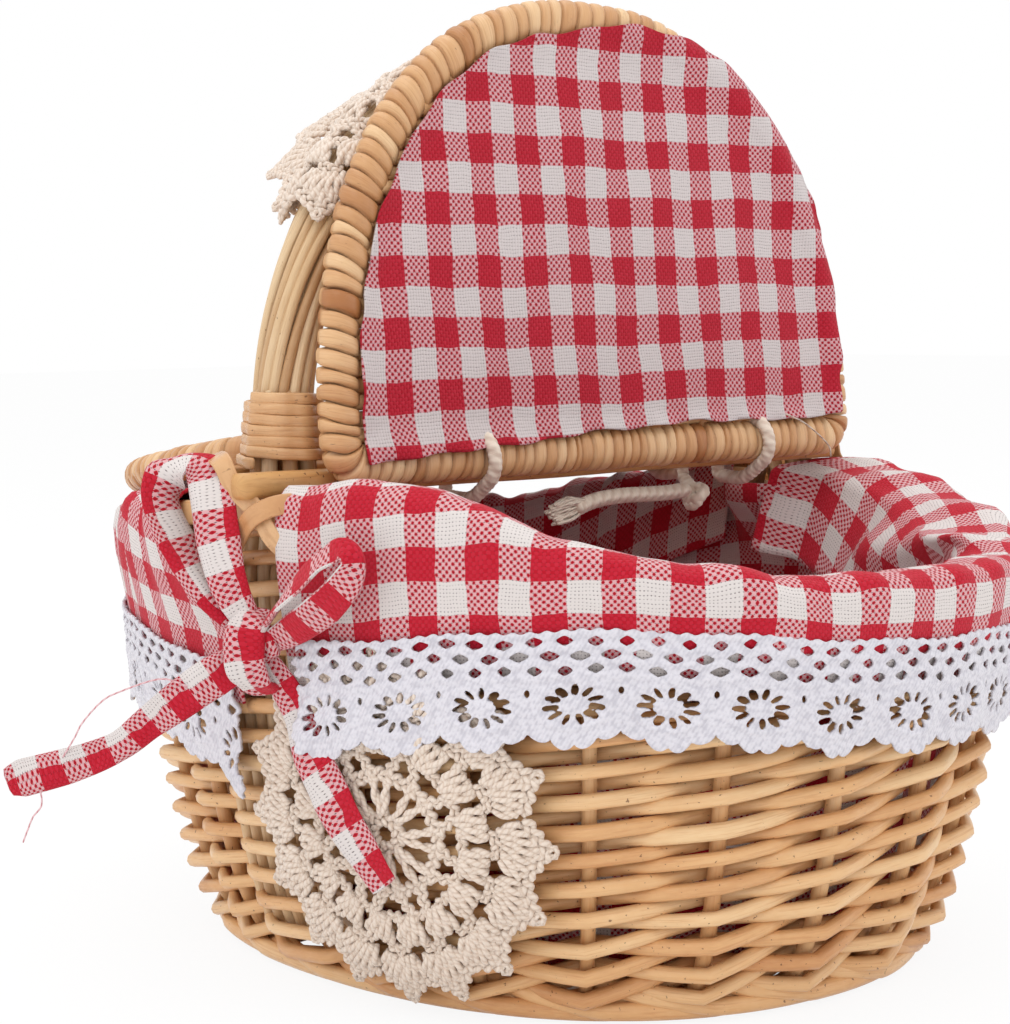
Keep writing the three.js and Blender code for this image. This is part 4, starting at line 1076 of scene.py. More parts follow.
def lidOutline():
    # the frame's middle line: an oval arch, two round corners and a straight foot
    sweep = np.linspace(0, np.pi, 60)
    c, s = np.cos(sweep), np.sin(sweep)
    reach = ovalReach(c, s, lid["power"])
    corner = lid["corner"]
    arc = np.stack([lid["halfWidth"] * reach * c, corner + (lid["depth"] - corner) * reach * s], 1)
    turn = np.linspace(0, np.pi / 2, 8)[1:]
    u = lid["halfWidth"] - corner + corner * np.cos(turn)
    h = corner - corner * np.sin(turn)
    foot = np.linspace(-1, 1, 30)[1:-1] * u[-1]
    flat = np.stack([foot, np.full(28, h[-1])], 1)
    ring = np.concatenate([arc, np.stack([-u, h], 1), flat, np.stack([u, h], 1)[::-1]])
    return smoothLine(ring, 1600, closed=True)


def lidInside(u, h, inset, side):
    # 1 in the lid's middle and 0 on its outline, which is straight up to the height side
    across = np.abs(u) / (lid["halfWidth"] - inset)
    up = np.maximum(h - side, 0) / (lid["depth"] - inset - side)
    return 1 - (across ** lid["power"] + up ** lid["power"]) ** (1 / lid["power"])


def insideFrame(values, u, h, inset):
    # those of the values where (u, h) lies inside the frame
    return values[np.minimum(lidInside(u, h, inset, inset + 4) * 95, h - inset) > 0]


def lidRim(name):
    # a strip of cane wound round the frame; six stations carry each turn's dome
    bag = Bag()
    ring = lidOutline()
    ring = np.append(ring, ring[:1], 0)
    reach = lengths(ring)
    total = reach[-1]
    onFoot = np.interp(np.linspace(0, total, 400), reach, ring[:, 1]) < 0.6
    pitches = np.where(onFoot, lid["footPitch"], lid["pitch"])
    turns = int(round(np.sum(total / 400 / pitches)))
    share = np.concatenate([[0], np.cumsum(1 / pitches)])
    share /= share[-1]
    stations, columns = len(winding["stations"]), winding["columns"]
    i = np.arange(turns * stations + 1)[:, None]
    j = np.arange(columns + 1)[None]
    angle = 2 * np.pi * j / columns
    strips = i // stations + np.array(winding["stations"])[i % stations]
    wobble = np.concatenate([[0], np.cumsum(draws(turns, 0.8, 1.2))])
    turnPlace = np.interp(strips, np.arange(turns + 1), wobble / wobble[-1] * turns) + j / columns
    lean = np.array([[rng.uniform(-0.2, 0.2), rng.uniform(-0.13, 0.13)] for _ in range(turns + 1)])
    lean[-1] = lean[0]
    tilt = pointsAt(strips, np.arange(turns + 1), lean)
    turnPlace = turnPlace + tilt[..., 0] * np.sin(angle) + tilt[..., 1] * (1 - np.cos(angle))
    place = np.interp(np.mod(turnPlace / turns, 1), share, np.linspace(0, total, 401))
    ahead, behind = (pointsAt(np.mod(place + step, total), reach, ring) for step in (0.7, -0.7))
    along = unit(ahead - behind)
    out = np.stack([along[..., 1], -along[..., 0]], -1)
    lift = np.repeat(draws(turns, -0.18, 0.22), stations)
    dome = np.array(winding["dome"])[i % stations] * winding["domeScale"]
    angle = angle + np.pi / 2
    radius = lid["radius"] - winding["under"] + dome + np.append(lift, lift[0])[:, None] + 0.12 * np.cos(3 * angle)
    reachOut = radius * np.sin(angle)
    reachOut = np.where(reachOut < 0, reachOut * lid["inner"], reachOut)
    flat = pointsAt(place, reach, ring) + out * reachOut[..., None]
    points = lidPoint(name, flat[..., 0], radius * np.cos(angle), flat[..., 1])
    tones = np.repeat([min(max(rng.gauss(0.42, 0.26), 0), 1.2) for _ in range(turns)], stations)
    v = (i / stations + j / columns) * winding["turnLength"]
    u = np.broadcast_to(strips / mm, v.shape)
    tones = np.broadcast_to(tones[:, None], (turns * stations, columns))
    bag.grid(points[:-1, :-1], u, v, tones, ring=True, loop=True, shift=stations)
    return bag


def lidPanel(name):
    # rods side by side, each over one rib and under the next
    bag = Bag()
    outer = -lidPlaces[name]["cloth"]
    across, up = np.linspace(-93, 93, 400), np.linspace(5, 125, 300)
    for row in range(2, 29):
        h = row * lid["rodPitch"]
        inside = insideFrame(across, across, h, 5.2)
        if len(inside) < 20:
            continue
        u = np.linspace(inside[0], inside[-1], 70)
        wave = lid["panelWave"] * np.cos(np.pi * (u / lid["ribPitch"] + row))
        line = lidPoint(name, u, outer * wave, h + 0.14 * np.sin(u * 0.11 + row))
        bag.tube(line, lid["panelRadius"] * rng.uniform(0.94, 1.03), 8, rng.betavariate(2.2, 2.5))
    for rib in range(-4, 5):
        u = rib * lid["ribPitch"]
        inside = insideFrame(up, u, up, 5.0)
        line = lidPoint(name, u, 0.0, np.linspace(inside[0], inside[-1], 12))
        bag.tube(line, lid["ribRadius"], 8, rng.uniform(0.2, 0.7))
    return bag


def clothInside(name, u, h):
    # how far inside the lid's outline and inside the cloth's raw edge, in millimetres
    centre = lidInside(u, h, 0, lid["corner"]) * 97
    angle = np.degrees(np.arctan2(h - 40, u)) % 360
    inset = np.interp(np.where(angle > 270, angle - 360, angle), clothEdge["angle"], clothEdge[name])
    foot = np.interp(u, clothEdge["footU"], clothEdge[name + "Foot"])
    frayed = waves([(0.35, 0.31, 0.12, 0), (0.25, -0.2, 0.6, 0), (0.3, 0.12, 0, 0)], u, h)
    return centre, np.minimum(centre - inset, h - foot) + frayed


def lidCloth(name):
    # the cloth's raw edge covers part of the frame on one side
    bag = Bag()

    def inside(u, h):
        return clothInside(name, u, h)[1]

    def place(u, h):
        centre, edge = clothInside(name, u, h)
        rise = np.interp(centre, [-7, -5, -2.5, 0, 3, 6, 11], [-2.6, -0.6, 1.7, 2.5, 2.1, 0.9, 0.0])
        rise = np.maximum(rise, np.interp(h, [0, 4, 7, 11], [2.4, 1.9, 0.9, 0]))
        wave = 0.5 * np.sin(u * 0.075 + h * 0.03) * np.cos(h * 0.06 + 0.4) + 0.3 * np.sin(u * 0.16 - h * 0.11)
        curl = 0.5 * np.exp(-edge / 2.5) * np.sin(u * 0.33 + h * 0.29)
        return lidPoint(name, u, lidPlaces[name]["cloth"] * (lid["clothOut"] + rise + wave * 0.6 + curl), h)

    step = lid["clothGrid"]
    cutSheet(bag, np.arange(-103, 103.1, step), np.arange(0, 132, step), inside, place, (5.35, 11.45))
    return bag


for name in lidPlaces:
    piece(name + "Rim", lidRim(name), rimCane, [name + "_rim"], "lid_rim_cane", name)
    piece(name + "Panel", lidPanel(name), willow, [name + "_panel"], "lid_weave", name)
    cloth = piece(name + "Cloth", lidCloth(name), shadedLidCheck, [name + "_cloth"], "lid_gingham", name)
    thicken(cloth, lid["clothThickness"])
    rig.sheet(cloth, flat=(0.191, 0.122), area=0.0205, held="laid", rests_on=[name + "_panel"])


# Lining: a bag hung inside the wall, and its top folded out over the rim

print("stage: lining")
lining = {
    "out": -13.0, "slack": 1.8, "thickness": 0.9, "foot": 11.2, "handleTop": 128, "handleHalf": 30,
    "folds": [(1.1, 13, 3, 0), (0.8, 29, -5, 0), (1.2, 7, 8, 0)], "floor": [0.02, 0.2, 0.45, 0.7, 0.9, 0.97],
}
collar = {
    "gap": 9.6, "lift": 4.6, "nearBump": 7.5, "farLift": 2.2, "inside": 14, "steps": 420, "thickness": 0.9,
    "rearNear": 0.8, "sag": 17, "tuck": 5.5, "roll": 12,
    # place along the rim and slant in degrees, width and height of each big fold
    "folds": [
        (-13, 18, 3.2, 1.6), (-24, 26, 4.0, 2.4), (-37, 34, 5.0, 2.2), (-56, 20, 4.5, 2.0),
        (-118, -16, 4.0, 1.8), (-72, 12, 5, 1.2),
    ],
    "smallFolds": [(0.5, 23, 6, 0), (0.3, 41, -5, 0), (0.12, 71, 9, 0)],
    "gathers": [(0.9, 47, 2, 0), (0.5, 83, 0, 0)],
}
# the collar's section, from its lower edge (0) over the rim (0.56) down into the basket (1)
section = {
    "level": [0, 0.08, 0.2, 0.32, 0.42, 0.5, 0.56, 0.62, 0.69, 0.78, 0.9, 1],
    "out": [1.6, 2.4, 3.6, 4.6, 4.7, 3.6, 0.6, -4.6, -10.0, -14.2, -15.6, -16.2],
    "rise": [0.0, 0.17, 0.42, 0.64, 0.82, 0.94, 1.0],
    "stay": [1.0, 0.97, 0.78, 0.3, 0.0],
    "drop": [0.0, 0.06, 0.5, 1.0],
}
lace = {"top": 99, "height": 29, "peak": 8, "sag": 8, "overlap": 12.5}


def laceTop(bearing):
    turn = np.degrees(bearing)
    sag = bump(turn, 180, 25) + 0.2 * bump(turn, -180, 25)
    return lace["top"] + lace["peak"] * bump(turn, -132, 30) - lace["sag"] * sag


def foldedMap(rings):
    # the cloth's own measure: along the rim, and down from its lower edge
    step = np.linalg.norm(np.diff(rings, axis=0), axis=2)
    v = np.concatenate([np.zeros((1, rings.shape[1])), np.cumsum(step, axis=0)])
    spread = 24
    padded = np.pad(v, ((0, 0), (spread, spread)), "edge")
    v = sum(padded[:, k : k + v.shape[1]] for k in range(2 * spread + 1)) / (2 * spread + 1)
    return np.broadcast_to(lengths(rings[12]), v.shape), v


def liningBag():
    bag = Bag()
    bearing = np.linspace(0, 2 * np.pi, 361)
    aside = np.abs(wall(bearing, body["bellyHeight"])[:, 1])
    top = np.where(aside < lining["handleHalf"], lining["handleTop"], rimHeight(bearing) - collar["inside"] + 1)
    top = np.convolve(np.concatenate([top[-9:-1], top, top[1:9]]), np.ones(17) / 17, "valid")
    rings = []
    for share in np.linspace(0, 1, 44):
        height = mixed(lining["foot"], top, share)
        fold = waves(lining["folds"], bearing, share) * (0.3 + 0.7 * np.sin(np.pi * share))
        fan = bump(aside, 0, 18, 4) * ramp(height, 102, 122)
        out = np.minimum(lining["out"] - lining["slack"] + fold, lining["out"]) - 20 * fan
        rings.append(onWall(bearing, height, out))
    floor = []
    for share in lining["floor"]:
        floor.append(rings[0] * (share, share, 1))
        floor[-1][:, 2] = lining["foot"] + 0.4 + 0.5 * np.sin(bearing * 7) * (1 - share)
    rings = np.array(floor + rings)
    bag.grid(rings[:, :-1], *foldedMap(rings), ring=True)
    return bag


def collarFolds(away, level):
    move = 0
    for place, slant, width, height in collar["folds"]:
        ridge = (away - place - slant * (level - 0.56)) / width
        move = move + height * (bump(ridge, 0, 1) - 0.45 * bump(ridge, 1.7, 1))
    return move


def collarSheet(front):
    # away runs in degrees from the near handle (-180) to the far one (0)
    bag = Bag()
    gap = math.radians(collar["gap"])
    bearing = np.linspace(*((-np.pi + gap, -gap) if front else (gap, np.pi - gap)), collar["steps"])
    away = -np.degrees(np.abs(bearing))
    if front:
        lift = mixed(collar["farLift"], collar["lift"], ramp(away, -50, -90))
        lift = lift + collar["nearBump"] * bump(away, -153, 13)
    else:
        lift = 1.6 + 1.4 * ramp(away, -166, -152)
    rim, foot = rimHeight(bearing), laceTop(bearing) - lace["overlap"]
    inside = collar["inside"] + 16 * bump(away, -25, 25)
    slack = bump(away, -24, 20) * (1 if front else 0.4)
    levels = section["level"]
    rings = []
    for level in np.linspace(0, 1, 56):
        if level <= 0.56:
            height = mixed(foot, rim + lift, np.interp(level, levels[:7], section["rise"]))
        else:
            height = rim + lift * np.interp(level, levels[6:11], section["stay"])
            height = height - inside * np.interp(level, levels[8:], section["drop"])
        out = np.interp(level, levels, section["out"]) - slack * collar["sag"] * max(level - 0.66, 0) ** 1.2 * 3.6
        if front:
            # beside the far handle the inner part goes on behind the handle's rods
            tuck = ramp(away, -30, -12) ** 2 * ramp(level, 0.6, 0.75)
            around = bearing + math.radians(collar["tuck"]) * tuck
            out = out - 15 * bump(wall(around, body["bellyHeight"])[:, 1], 0, 16, 4) * tuck
            bend = np.interp(away, [-60, -55, -45, -38, -28, -22], [0.58, 0.62, 0.78, 0.85, 0.9, 1.05])
            roll = collar["roll"] * bump(level, bend, 0.075) * bump(away, -42, 17, 6)
            out = out - 0.6 * roll
            height = height + 0.12 * roll
            gather = 0
        else:
            near = ramp(bearing, math.radians(135), math.radians(170)) ** 2
            around = bearing + near * math.radians(10.2) * ramp(level, 0.46, 0.16)
            gather = 0.7 + waves(collar["gathers"], bearing, level)
        move = waves(collar["smallFolds"], bearing, level) + gather + collarFolds(away, level)
        move = move * bump(level, 0.5, 0.32)
        ring = overWall(around, height, out + move * (0.75 if level < 0.56 else -0.5))
        ring[:, 2] += move * (0.75 if 0.38 < level < 0.75 else 0.25)
        rings.append(ring)
    rings = np.array(rings)
    bag.grid(rings, *foldedMap(rings), flip=True)
    return bag


cloth = piece("liningBag", liningBag(), check, ["lining_bag"], "lining_gingham")
thicken(cloth, lining["thickness"])
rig.sheet(cloth, flat=(0.79, 0.14), held="hung", rests_on=["base_mat"])
for side in ("front", "rear"):
    made = collarSheet(side == "front")
    cloth = piece("collar" + side.title(), made, check, ["collar_" + side], "lining_gingham")
    thicken(cloth, collar["thickness"])
    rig.sheet(cloth, flat=(0.36, 0.07), held="gathered", rests_on=["rim_band"])
    if side == "front":
        # the closed lid presses the raised folds down
        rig.squash(cloth, "front_lid_hinge", axis=(0, 0, 1), anchor=(0, 0, 0.108), keep=0.74)


# Lace: a cut sheet with three rows of eyelets, a row of flower wheels and a scalloped edge

print("stage: lace")
look = {
    "wheel": 23.4, "rowPitch": 3.5, "eyeletPitch": 7.6, "eyelet": (2.3, 1.35), "firstRow": 3.0,
    "wheelDrop": 19.0, "petals": 11, "slit": 0.82, "middle": 5.85, "half": 2.15, "squash": 1.55,
    "small": (1.3, 0.9, 0.95), "smallDrop": 15.5, "relief": 0.8, "out": 4.8, "least": 2.6,
    "waves": [(0.9, 0.105, 0, 1), (0.6, 0.21, 0, 2.2), (0.35, 0.43, 0, 0)], "grid": 0.5, "thickness": 0.9,
}


def wheelPlace(u, v):
    # across and down from the middle of the nearest wheel
    return (u / look["wheel"] % 1 - 0.5) * look["wheel"], (v - look["wheelDrop"]) * look["squash"]


def laceThread(u, v):
    # above zero where there is thread; u along the band, v down from its top edge
    turns = u / look["wheel"]
    lobe = 1.9 * np.abs(np.sin(turns * 4 * np.pi)) ** 0.6 - 1.7 * np.cos(turns * 2 * np.pi) - 0.4
    value = np.minimum(lace["height"] - 1.6 + lobe - v, v - 0.35 - 0.3 * np.sin(u * 2 * np.pi / 4.25))
    for row in range(3):
        place = u / look["eyeletPitch"] + 0.5 * row
        x = (place % 1 - 0.5) * look["eyeletPitch"]
        y = v - look["firstRow"] - row * look["rowPitch"] - 0.35 * np.sin(u * 0.23 + row)
        wide, tall = look["eyelet"]
        jitter = 1 + 0.18 * np.sin(np.floor(place) * 12.9 + row * 4.1)
        value = np.minimum(value, (np.abs(x) / wide / jitter + (np.abs(y) / tall) ** 1.4 - 1) * 1.1)
    # slits between the petals of the wheels
    x, y = wheelPlace(u, v)
    radius, turn = np.hypot(x, y), np.arctan2(y, x)
    petal = turn / (2 * np.pi) * look["petals"] + 0.2 * np.sin(np.floor(turns) * 7)
    arc = np.abs(petal % 1 - 0.5) * 2 * radius * np.pi / look["petals"]
    flank = np.clip(1 - ((radius - look["middle"]) / look["half"]) ** 2, 0, 1) ** 0.5
    width = look["slit"] * (0.25 + 0.85 * flank) * (1 + 0.4 * np.abs(np.cos(turn)))
    width = width * (1 + 0.25 * np.sin(np.floor(petal) * 5 + np.floor(turns) * 3))
    slit = np.maximum(arc - width, np.abs(radius - look["middle"]) - look["half"])
    # a small hole between two wheels
    wide, tall, size = look["small"]
    x, y = ((turns + 0.5) % 1 - 0.5) * look["wheel"], v - look["smallDrop"]
    return np.minimum(np.minimum(value, slit), np.hypot(x * wide, y * tall) - size)


def laceRelief(u, v):
    # raised cords round the wheels and between the rows
    radius = np.hypot(*wheelPlace(u, v))
    ring = 0.55 * bump(radius, look["middle"] + look["half"] + 1.3, 1) + 0.5 * bump(radius, 0, 2.2)
    rows = -0.3 * np.cos(2 * np.pi * (v - look["firstRow"]) / look["rowPitch"]) * (v < 14)
    knots = 0.16 * np.sin(u * 2.9 + v * 1.7) * np.sin(v * 3.1 - u * 0.9)
    return ring + rows + knots + 0.4 * bump(v, lace["height"], 2.2)


def laceBand(front):
    bag = Bag()
    gap = math.radians(collar["gap"]) + 0.03
    ends = (-np.pi + gap, -gap) if front else (gap, np.pi + math.radians(collar["rearNear"]))
    bearing = np.linspace(*ends, 600)
    reach = lengths(onWall(bearing, 88.0, 5.0))

    def inside(u, v):
        ragged = 0.8 * np.sin(v * 0.8) + 0.5 * np.sin(v * 2.1)
        return np.minimum(laceThread(u, v), np.minimum(u - 1.5 - ragged, reach[-1] - 1.5 - u + ragged))

    def place(u, v):
        at = np.interp(u, reach, bearing)
        hang = np.clip(v / lace["height"], 0, 1.1)
        nearEnd = bump(u if front else reach[-1] - u, 0, 16) * hang
        out = look["out"] - 0.9 * hang + 1.9 * bump(np.degrees(at), -160, 16) * hang
        out = out + waves(look["waves"], u) * (0.25 + 0.9 * hang**2) + laceRelief(u, v) * look["relief"]
        out = out + nearEnd * 1.8 * np.sin(v * 0.28 + 1.2)
        height = laceTop(at) - v - 2.2 * nearEnd * (1 if front else 3.4) + 0.4 * np.sin(u * 0.16)
        return overWall(at, height, np.maximum(out, look["least"]))

    u = np.arange(0, reach[-1] + 0.01, look["grid"])
    cutSheet(bag, u, np.arange(-0.5, lace["height"] + 3, look["grid"]), inside, place)
    return bag


for side in ("front", "rear"):
    band = piece("lace" + side.title(), laceBand(side == "front"), laceCotton, ["lace_" + side], "lace_cotton")
    thicken(band, look["thickness"], 1.0)
    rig.sheet(band, flat=(0.345, 0.031), area=0.0085, held="hung", rests_on=["collar_" + side])


# Bows: straps of folded gingham, tied once at each handle

print("stage: bows")
nearOut = (-0.66, -0.75, 0)
# near: both loops, the tail, the lower end and the two turns of the knot
nearStraps = [
    {
        "route": [
            (-122, -19, 100), (-129.5, -8.7, 112.3), (-133, -0.3, 123.8), (-134.3, 4.9, 134.1),
            (-133, 5.7, 140.1), (-129.8, 4.2, 143.9), (-126.4, 1.3, 144.9), (-125, -2.7, 142.4),
            (-126.3, -6.8, 136.9), (-127.6, -11.1, 125.4), (-126.9, -15.6, 112.7), (-122.5, -20, 101),
        ],
        "facing": [
            (-0.5, -0.85, 0.1), (0, -0.98, 0), (0.15, -0.97, 0.05), (0.15, -0.95, 0.1),
            (0.1, -0.8, 0.5), (0, -0.35, 0.9), (-0.15, -0.3, 0.95), (-0.5, -0.4, 0.7),
            (-0.7, -0.62, 0.25), (-0.72, -0.68, 0.1), (-0.7, -0.7, 0.1), nearOut,
        ],
        "widths": [6, 10, 13, 13, 12, 11, 11, 11.5, 12, 12, 10, 6], "thickness": 2.8, "crumple": 0.5,
    },
    {
        "route": [
            (-122, -21, 101), (-123.5, -29, 107), (-124.5, -40, 115), (-124, -51, 122.5),
            (-122.5, -58.5, 126), (-121.5, -61.5, 123), (-122, -59, 117.5), (-122.5, -50, 110.5),
            (-122, -38, 104.5), (-121.5, -28, 100.5), (-121.5, -22, 99),
        ],
        "facing": [
            (-0.5, -0.4, 0.75), (-0.5, -0.3, 0.8), (-0.55, -0.3, 0.8), (-0.6, -0.3, 0.7), (-0.3, -0.9, 0.3),
            (-0.2, -0.95, -0.2), (-0.75, -0.5, -0.4), (-0.8, -0.4, -0.4), (-0.8, -0.4, -0.4),
            (-0.7, -0.5, -0.4), nearOut,
        ],
        "widths": [5, 7, 8, 7.5, 6.5, 6.5, 8, 9.5, 9, 7, 5], "crumple": 0.45,
    },
    {
        "route": [
            (-124, -22, 96.5), (-127.5, -19.8, 94.4), (-132.8, -15.2, 90.5), (-139.3, -9.4, 84.6),
            (-145.3, -4.2, 78.9), (-151.8, 1.6, 72.4), (-161.4, 10.7, 67.4), (-170.1, 19, 64.3),
            (-172.6, 21.4, 63.2),
        ],
        "facing": [nearOut] * 9,
        "widths": [7, 9.5, 11, 10.4, 8.8, 7.8, 9.6, 10, 7.5], "crumple": 0.5, "stretch": 1.3,
    },
    {
        "route": [
            (-122, -22, 96), (-118.4, -25, 89), (-115.4, -28.5, 80), (-115, -33.5, 70), (-114, -40, 60),
            (-110.6, -46.5, 48), (-107, -53, 38),
        ],
        "facing": [
            (-0.7, -0.7, 0), (-0.75, -0.6, 0), (-0.85, -0.5, 0), (-0.85, -0.5, -0.1), (-0.8, -0.5, -0.2),
            (-0.78, -0.5, -0.3), (-0.75, -0.5, -0.4),
        ],
        "widths": [6, 7.5, 9, 11, 12, 11, 9], "thickness": 1.6, "crumple": 0.3,
    },
    {
        "route": [(-121.5, -14, 96), (-124, -18, 97.5), (-124.4, -22, 98.5), (-121.5, -27, 100)],
        "facing": [nearOut] * 4, "widths": [8, 11, 11, 8], "thickness": 5.5,
    },
    {
        "route": [
            (-120.5, -19, 107), (-125.5, -21.5, 105), (-128.6, -23.4, 99.5), (-128, -23.6, 92.5),
            (-124, -22.6, 88), (-120, -22, 86.5),
        ],
        "facing": [
            (-0.2, -0.25, 0.95), (-0.5, -0.55, 0.65), (-0.68, -0.73, 0.1), (-0.65, -0.72, -0.25),
            (-0.4, -0.45, -0.8), (-0.1, -0.1, -1),
        ],
        "widths": [7, 9.5, 11, 10.5, 9, 7], "thickness": 3.2, "crumple": 0.6,
    },
]
# far: both loops and both ends; its knot is two rings
farStraps = [
    {
        "route": [
            (121, -17, 99), (124, -9, 108), (126, 4, 120), (126, 15, 131), (125, 21, 137), (124.5, 20, 139),
            (124.5, 12, 131), (124, 2, 119), (122.5, -9, 106), (121, -16, 98),
        ],
        "facing": [(0.7, -0.4, 0.6)] * 4 + [(0.2, 0.5, 0.8), (0.5, 0.3, 0.8)] + [(0.8, -0.5, -0.2)] * 4,
        "widths": [6, 10, 12, 12, 11, 11, 12, 12, 9, 6],
    },
    {
        "route": [
            (121, -19, 99), (122.5, -28, 104), (123, -38, 112), (121.5, -47, 118), (120, -52, 117),
            (120.5, -48, 111), (121.5, -38, 104), (121, -27, 98), (120.5, -19, 96),
        ],
        "facing": [(0.6, 0.3, 0.7)] * 4 + [(0.2, -0.9, 0.1)] + [(0.8, -0.2, -0.5)] * 4,
        "widths": [5, 8, 9, 9, 8, 9, 10, 8, 5],
    },
    {
        "route": [
            (121, -19, 97), (118, -21, 88), (115.5, -24, 76), (113.5, -29, 62), (108, -34, 48), (104.5, -38, 38),
        ],
        "facing": [(0.95, -0.2, -0.15)] * 6, "widths": [6, 9, 11, 11, 9],
    },
    {
        "route": [(121.5, -17, 96), (121, -12, 84), (119, -7, 70), (114, -3, 52), (110.5, -1, 40)],
        "facing": [(0.95, -0.2, -0.15)] * 5, "widths": [6, 9, 11, 11, 9],
    },
]
farKnot = {"centre": (121, -17.5, 98.5), "across": 5.2, "tall": 7.2, "width": 10, "thickness": 2.6, "tilt": -1.2}
# one thread pulled out of the tail's upper edge, one below its tip, one at the lid cloth's foot
tailThreads = [
    [
        (-138.5, -11.7, 88.4), (-144.2, -7.8, 90.4), (-152.6, -0.4, 86.9), (-155.9, 2.6, 84.3),
        (-159.5, 5.7, 79.1), (-161, 7, 75.5), (-162.7, 10.4, 70),
    ],
    [(-166.8, 15.6, 62.2), (-166.7, 15.2, 57.2), (-168.5, 16.6, 54.1), (-169.8, 17.7, 50.2), (-170.6, 18.4, 47.5)],
]
lidThread = [
    (67.4, -30.1, 151.2), (75.4, -29.9, 148.4), (82.6, -29.5, 144.4), (88.1, -29.1, 140.4), (89.3, -28.8, 137.2),
]


def strapShape(width, thickness):
    # a folded strip of cloth: soft edges, thinner in the middle where it was pressed
    turn = np.arange(20) / 20 * 2 * np.pi
    across = np.sign(np.cos(turn)) * np.abs(np.cos(turn)) ** 0.75
    thick = np.sin(turn) * (0.72 + 0.28 * across**2) * thickness / 2
    return np.stack(np.broadcast_arrays(np.multiply.outer(width, across) / 2, thick), -1)


def cottonStrap(bag, route, widths, facing, thickness=2.2, crumple=0.35, stretch=1.0):
    # facing goes with the route's own points, and so do the widths where they are as many
    share = np.linspace(0, 1, 90)
    line = smoothLine(route, len(share))
    knots = lengths(route) / lengths(route)[-1]
    places = knots if len(widths) == len(knots) else np.linspace(0, 1, len(widths))
    width = np.interp(share, places, widths)
    across = np.cross(np.gradient(line, axis=0), pointsAt(share, knots, facing))
    shape = strapShape(width, thickness)
    ripple = crumple * np.sin(share[:, None] * 21 + rng.uniform(0, 6) + shape[..., 0] * 0.55)
    shape[..., 1] += ripple * (0.4 + 1.2 * np.abs(shape[..., 0]) / width[:, None])
    bag.sweep(line, shape, across, width=2 * width.mean() + 3)
    bag.places[-1][:, 1] *= stretch


def knotRings(bag, knot):
    turn = np.linspace(0, 2 * np.pi, 60)[:-1]
    away = knot["tall"] * np.sin(turn)
    oval = [knot["across"] * np.cos(turn), away * math.cos(knot["tilt"]), away * math.sin(knot["tilt"])]
    for lift, wide in ((0.0, 1.0), (0.35, 0.8)):
        ring = np.stack(oval, 1) * wide + lift
        axis = np.cross(np.gradient(ring, axis=0), ring)
        shape = strapShape(knot["width"] * (1 - 0.2 * lift), knot["thickness"])
        bag.sweep(ring + knot["centre"], shape, axis, loop=True, width=2 * knot["width"] + 3)


def threads(name, routes, radius, tone, material, slot, rides="root"):
    bag = Bag()
    for route in routes:
        bag.tube(smoothLine(route, 40), radius, 5, tone)
    piece(name, bag, material, slot=slot, body=rides)


for side, straps, length, under in (
    ("near", nearStraps, 0.27, ["collar_front", "doily_wall"]), ("far", farStraps, 0.23, ["collar_front"]),
):
    bowBag = Bag()
    for strap in straps:
        cottonStrap(bowBag, **strap)
    if side == "far":
        knotRings(bowBag, farKnot)
    ribbon = piece(side + "Bow", bowBag, check, ["bow_" + side], "bow_gingham")
    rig.sheet(ribbon, flat=(length, 0.02), held="folded", rests_on=under)
threads("looseThreads", tailThreads, 0.24, 0.4, threadYarn, "bow_gingham")
threads("lidThread", [lidThread], 0.26, 0.1, cordYarn, "lid_gingham", "front_lid")


# Doilies: crochet worked from one yarn, in rounds, laid on the wall and over the handle

print("stage: doilies")
crochet = {"ply": 0.74, "lay": 9.5, "step": 1.05, "scallops": 16, "radius": 47.5}
wallDoily = {"bearing": math.radians(-158), "height": 51.0, "lift": 2.0}
handleDoily = {"middle": 0.95, "gap": 2.8, "turnPerLength": 0.0096, "scallops": 14, "radius": 42}


def yarn(bag, line, radius, place):
    # two plies twisted round each other along a line of (x, y, lift) on the doily's own flat
    length = lengths(line)[-1]
    count = max(6, int(length / crochet["step"]))
    points = place(*smoothLine(line, count).T)
    _, first, second = frames(points)
    tone, start = rng.uniform(0.1, 0.6), rng.uniform(0, 6)
    for side in (0, np.pi):
        turn = (np.linspace(0, length, count) / crochet["lay"] * 2 * np.pi + side + start)[:, None]
        ply = points + radius * 0.52 * (np.cos(turn) * first + np.sin(turn) * second)
        bag.tube(ply, radius * crochet["ply"], 6, tone)


def chain(bag, line, width, pitch, place, radius):
    # a row of chain stitches: two strands that part and cross at every stitch
    stitches = max(2, int(round(lengths(line)[-1] / pitch)))
    line = smoothLine(line, stitches * 7)
    tangent = unit(np.gradient(line[:, :2], axis=0))
    side = np.stack([-tangent[:, 1], tangent[:, 0]], 1)
    phase = np.linspace(0, stitches * 2 * np.pi, len(line))
    tone = rng.uniform(0.1, 0.6)
    for sign in (-1, 1):
        spread = sign * width / 2 * (0.62 + sign * 0.38 * np.cos(phase))
        flat = line[:, :2] + side * spread[:, None]
        lift = line[:, 2] + sign * 0.45 * radius * np.sin(phase)
        bag.tube(place(*flat.T, lift), radius * 0.86, 6, tone)


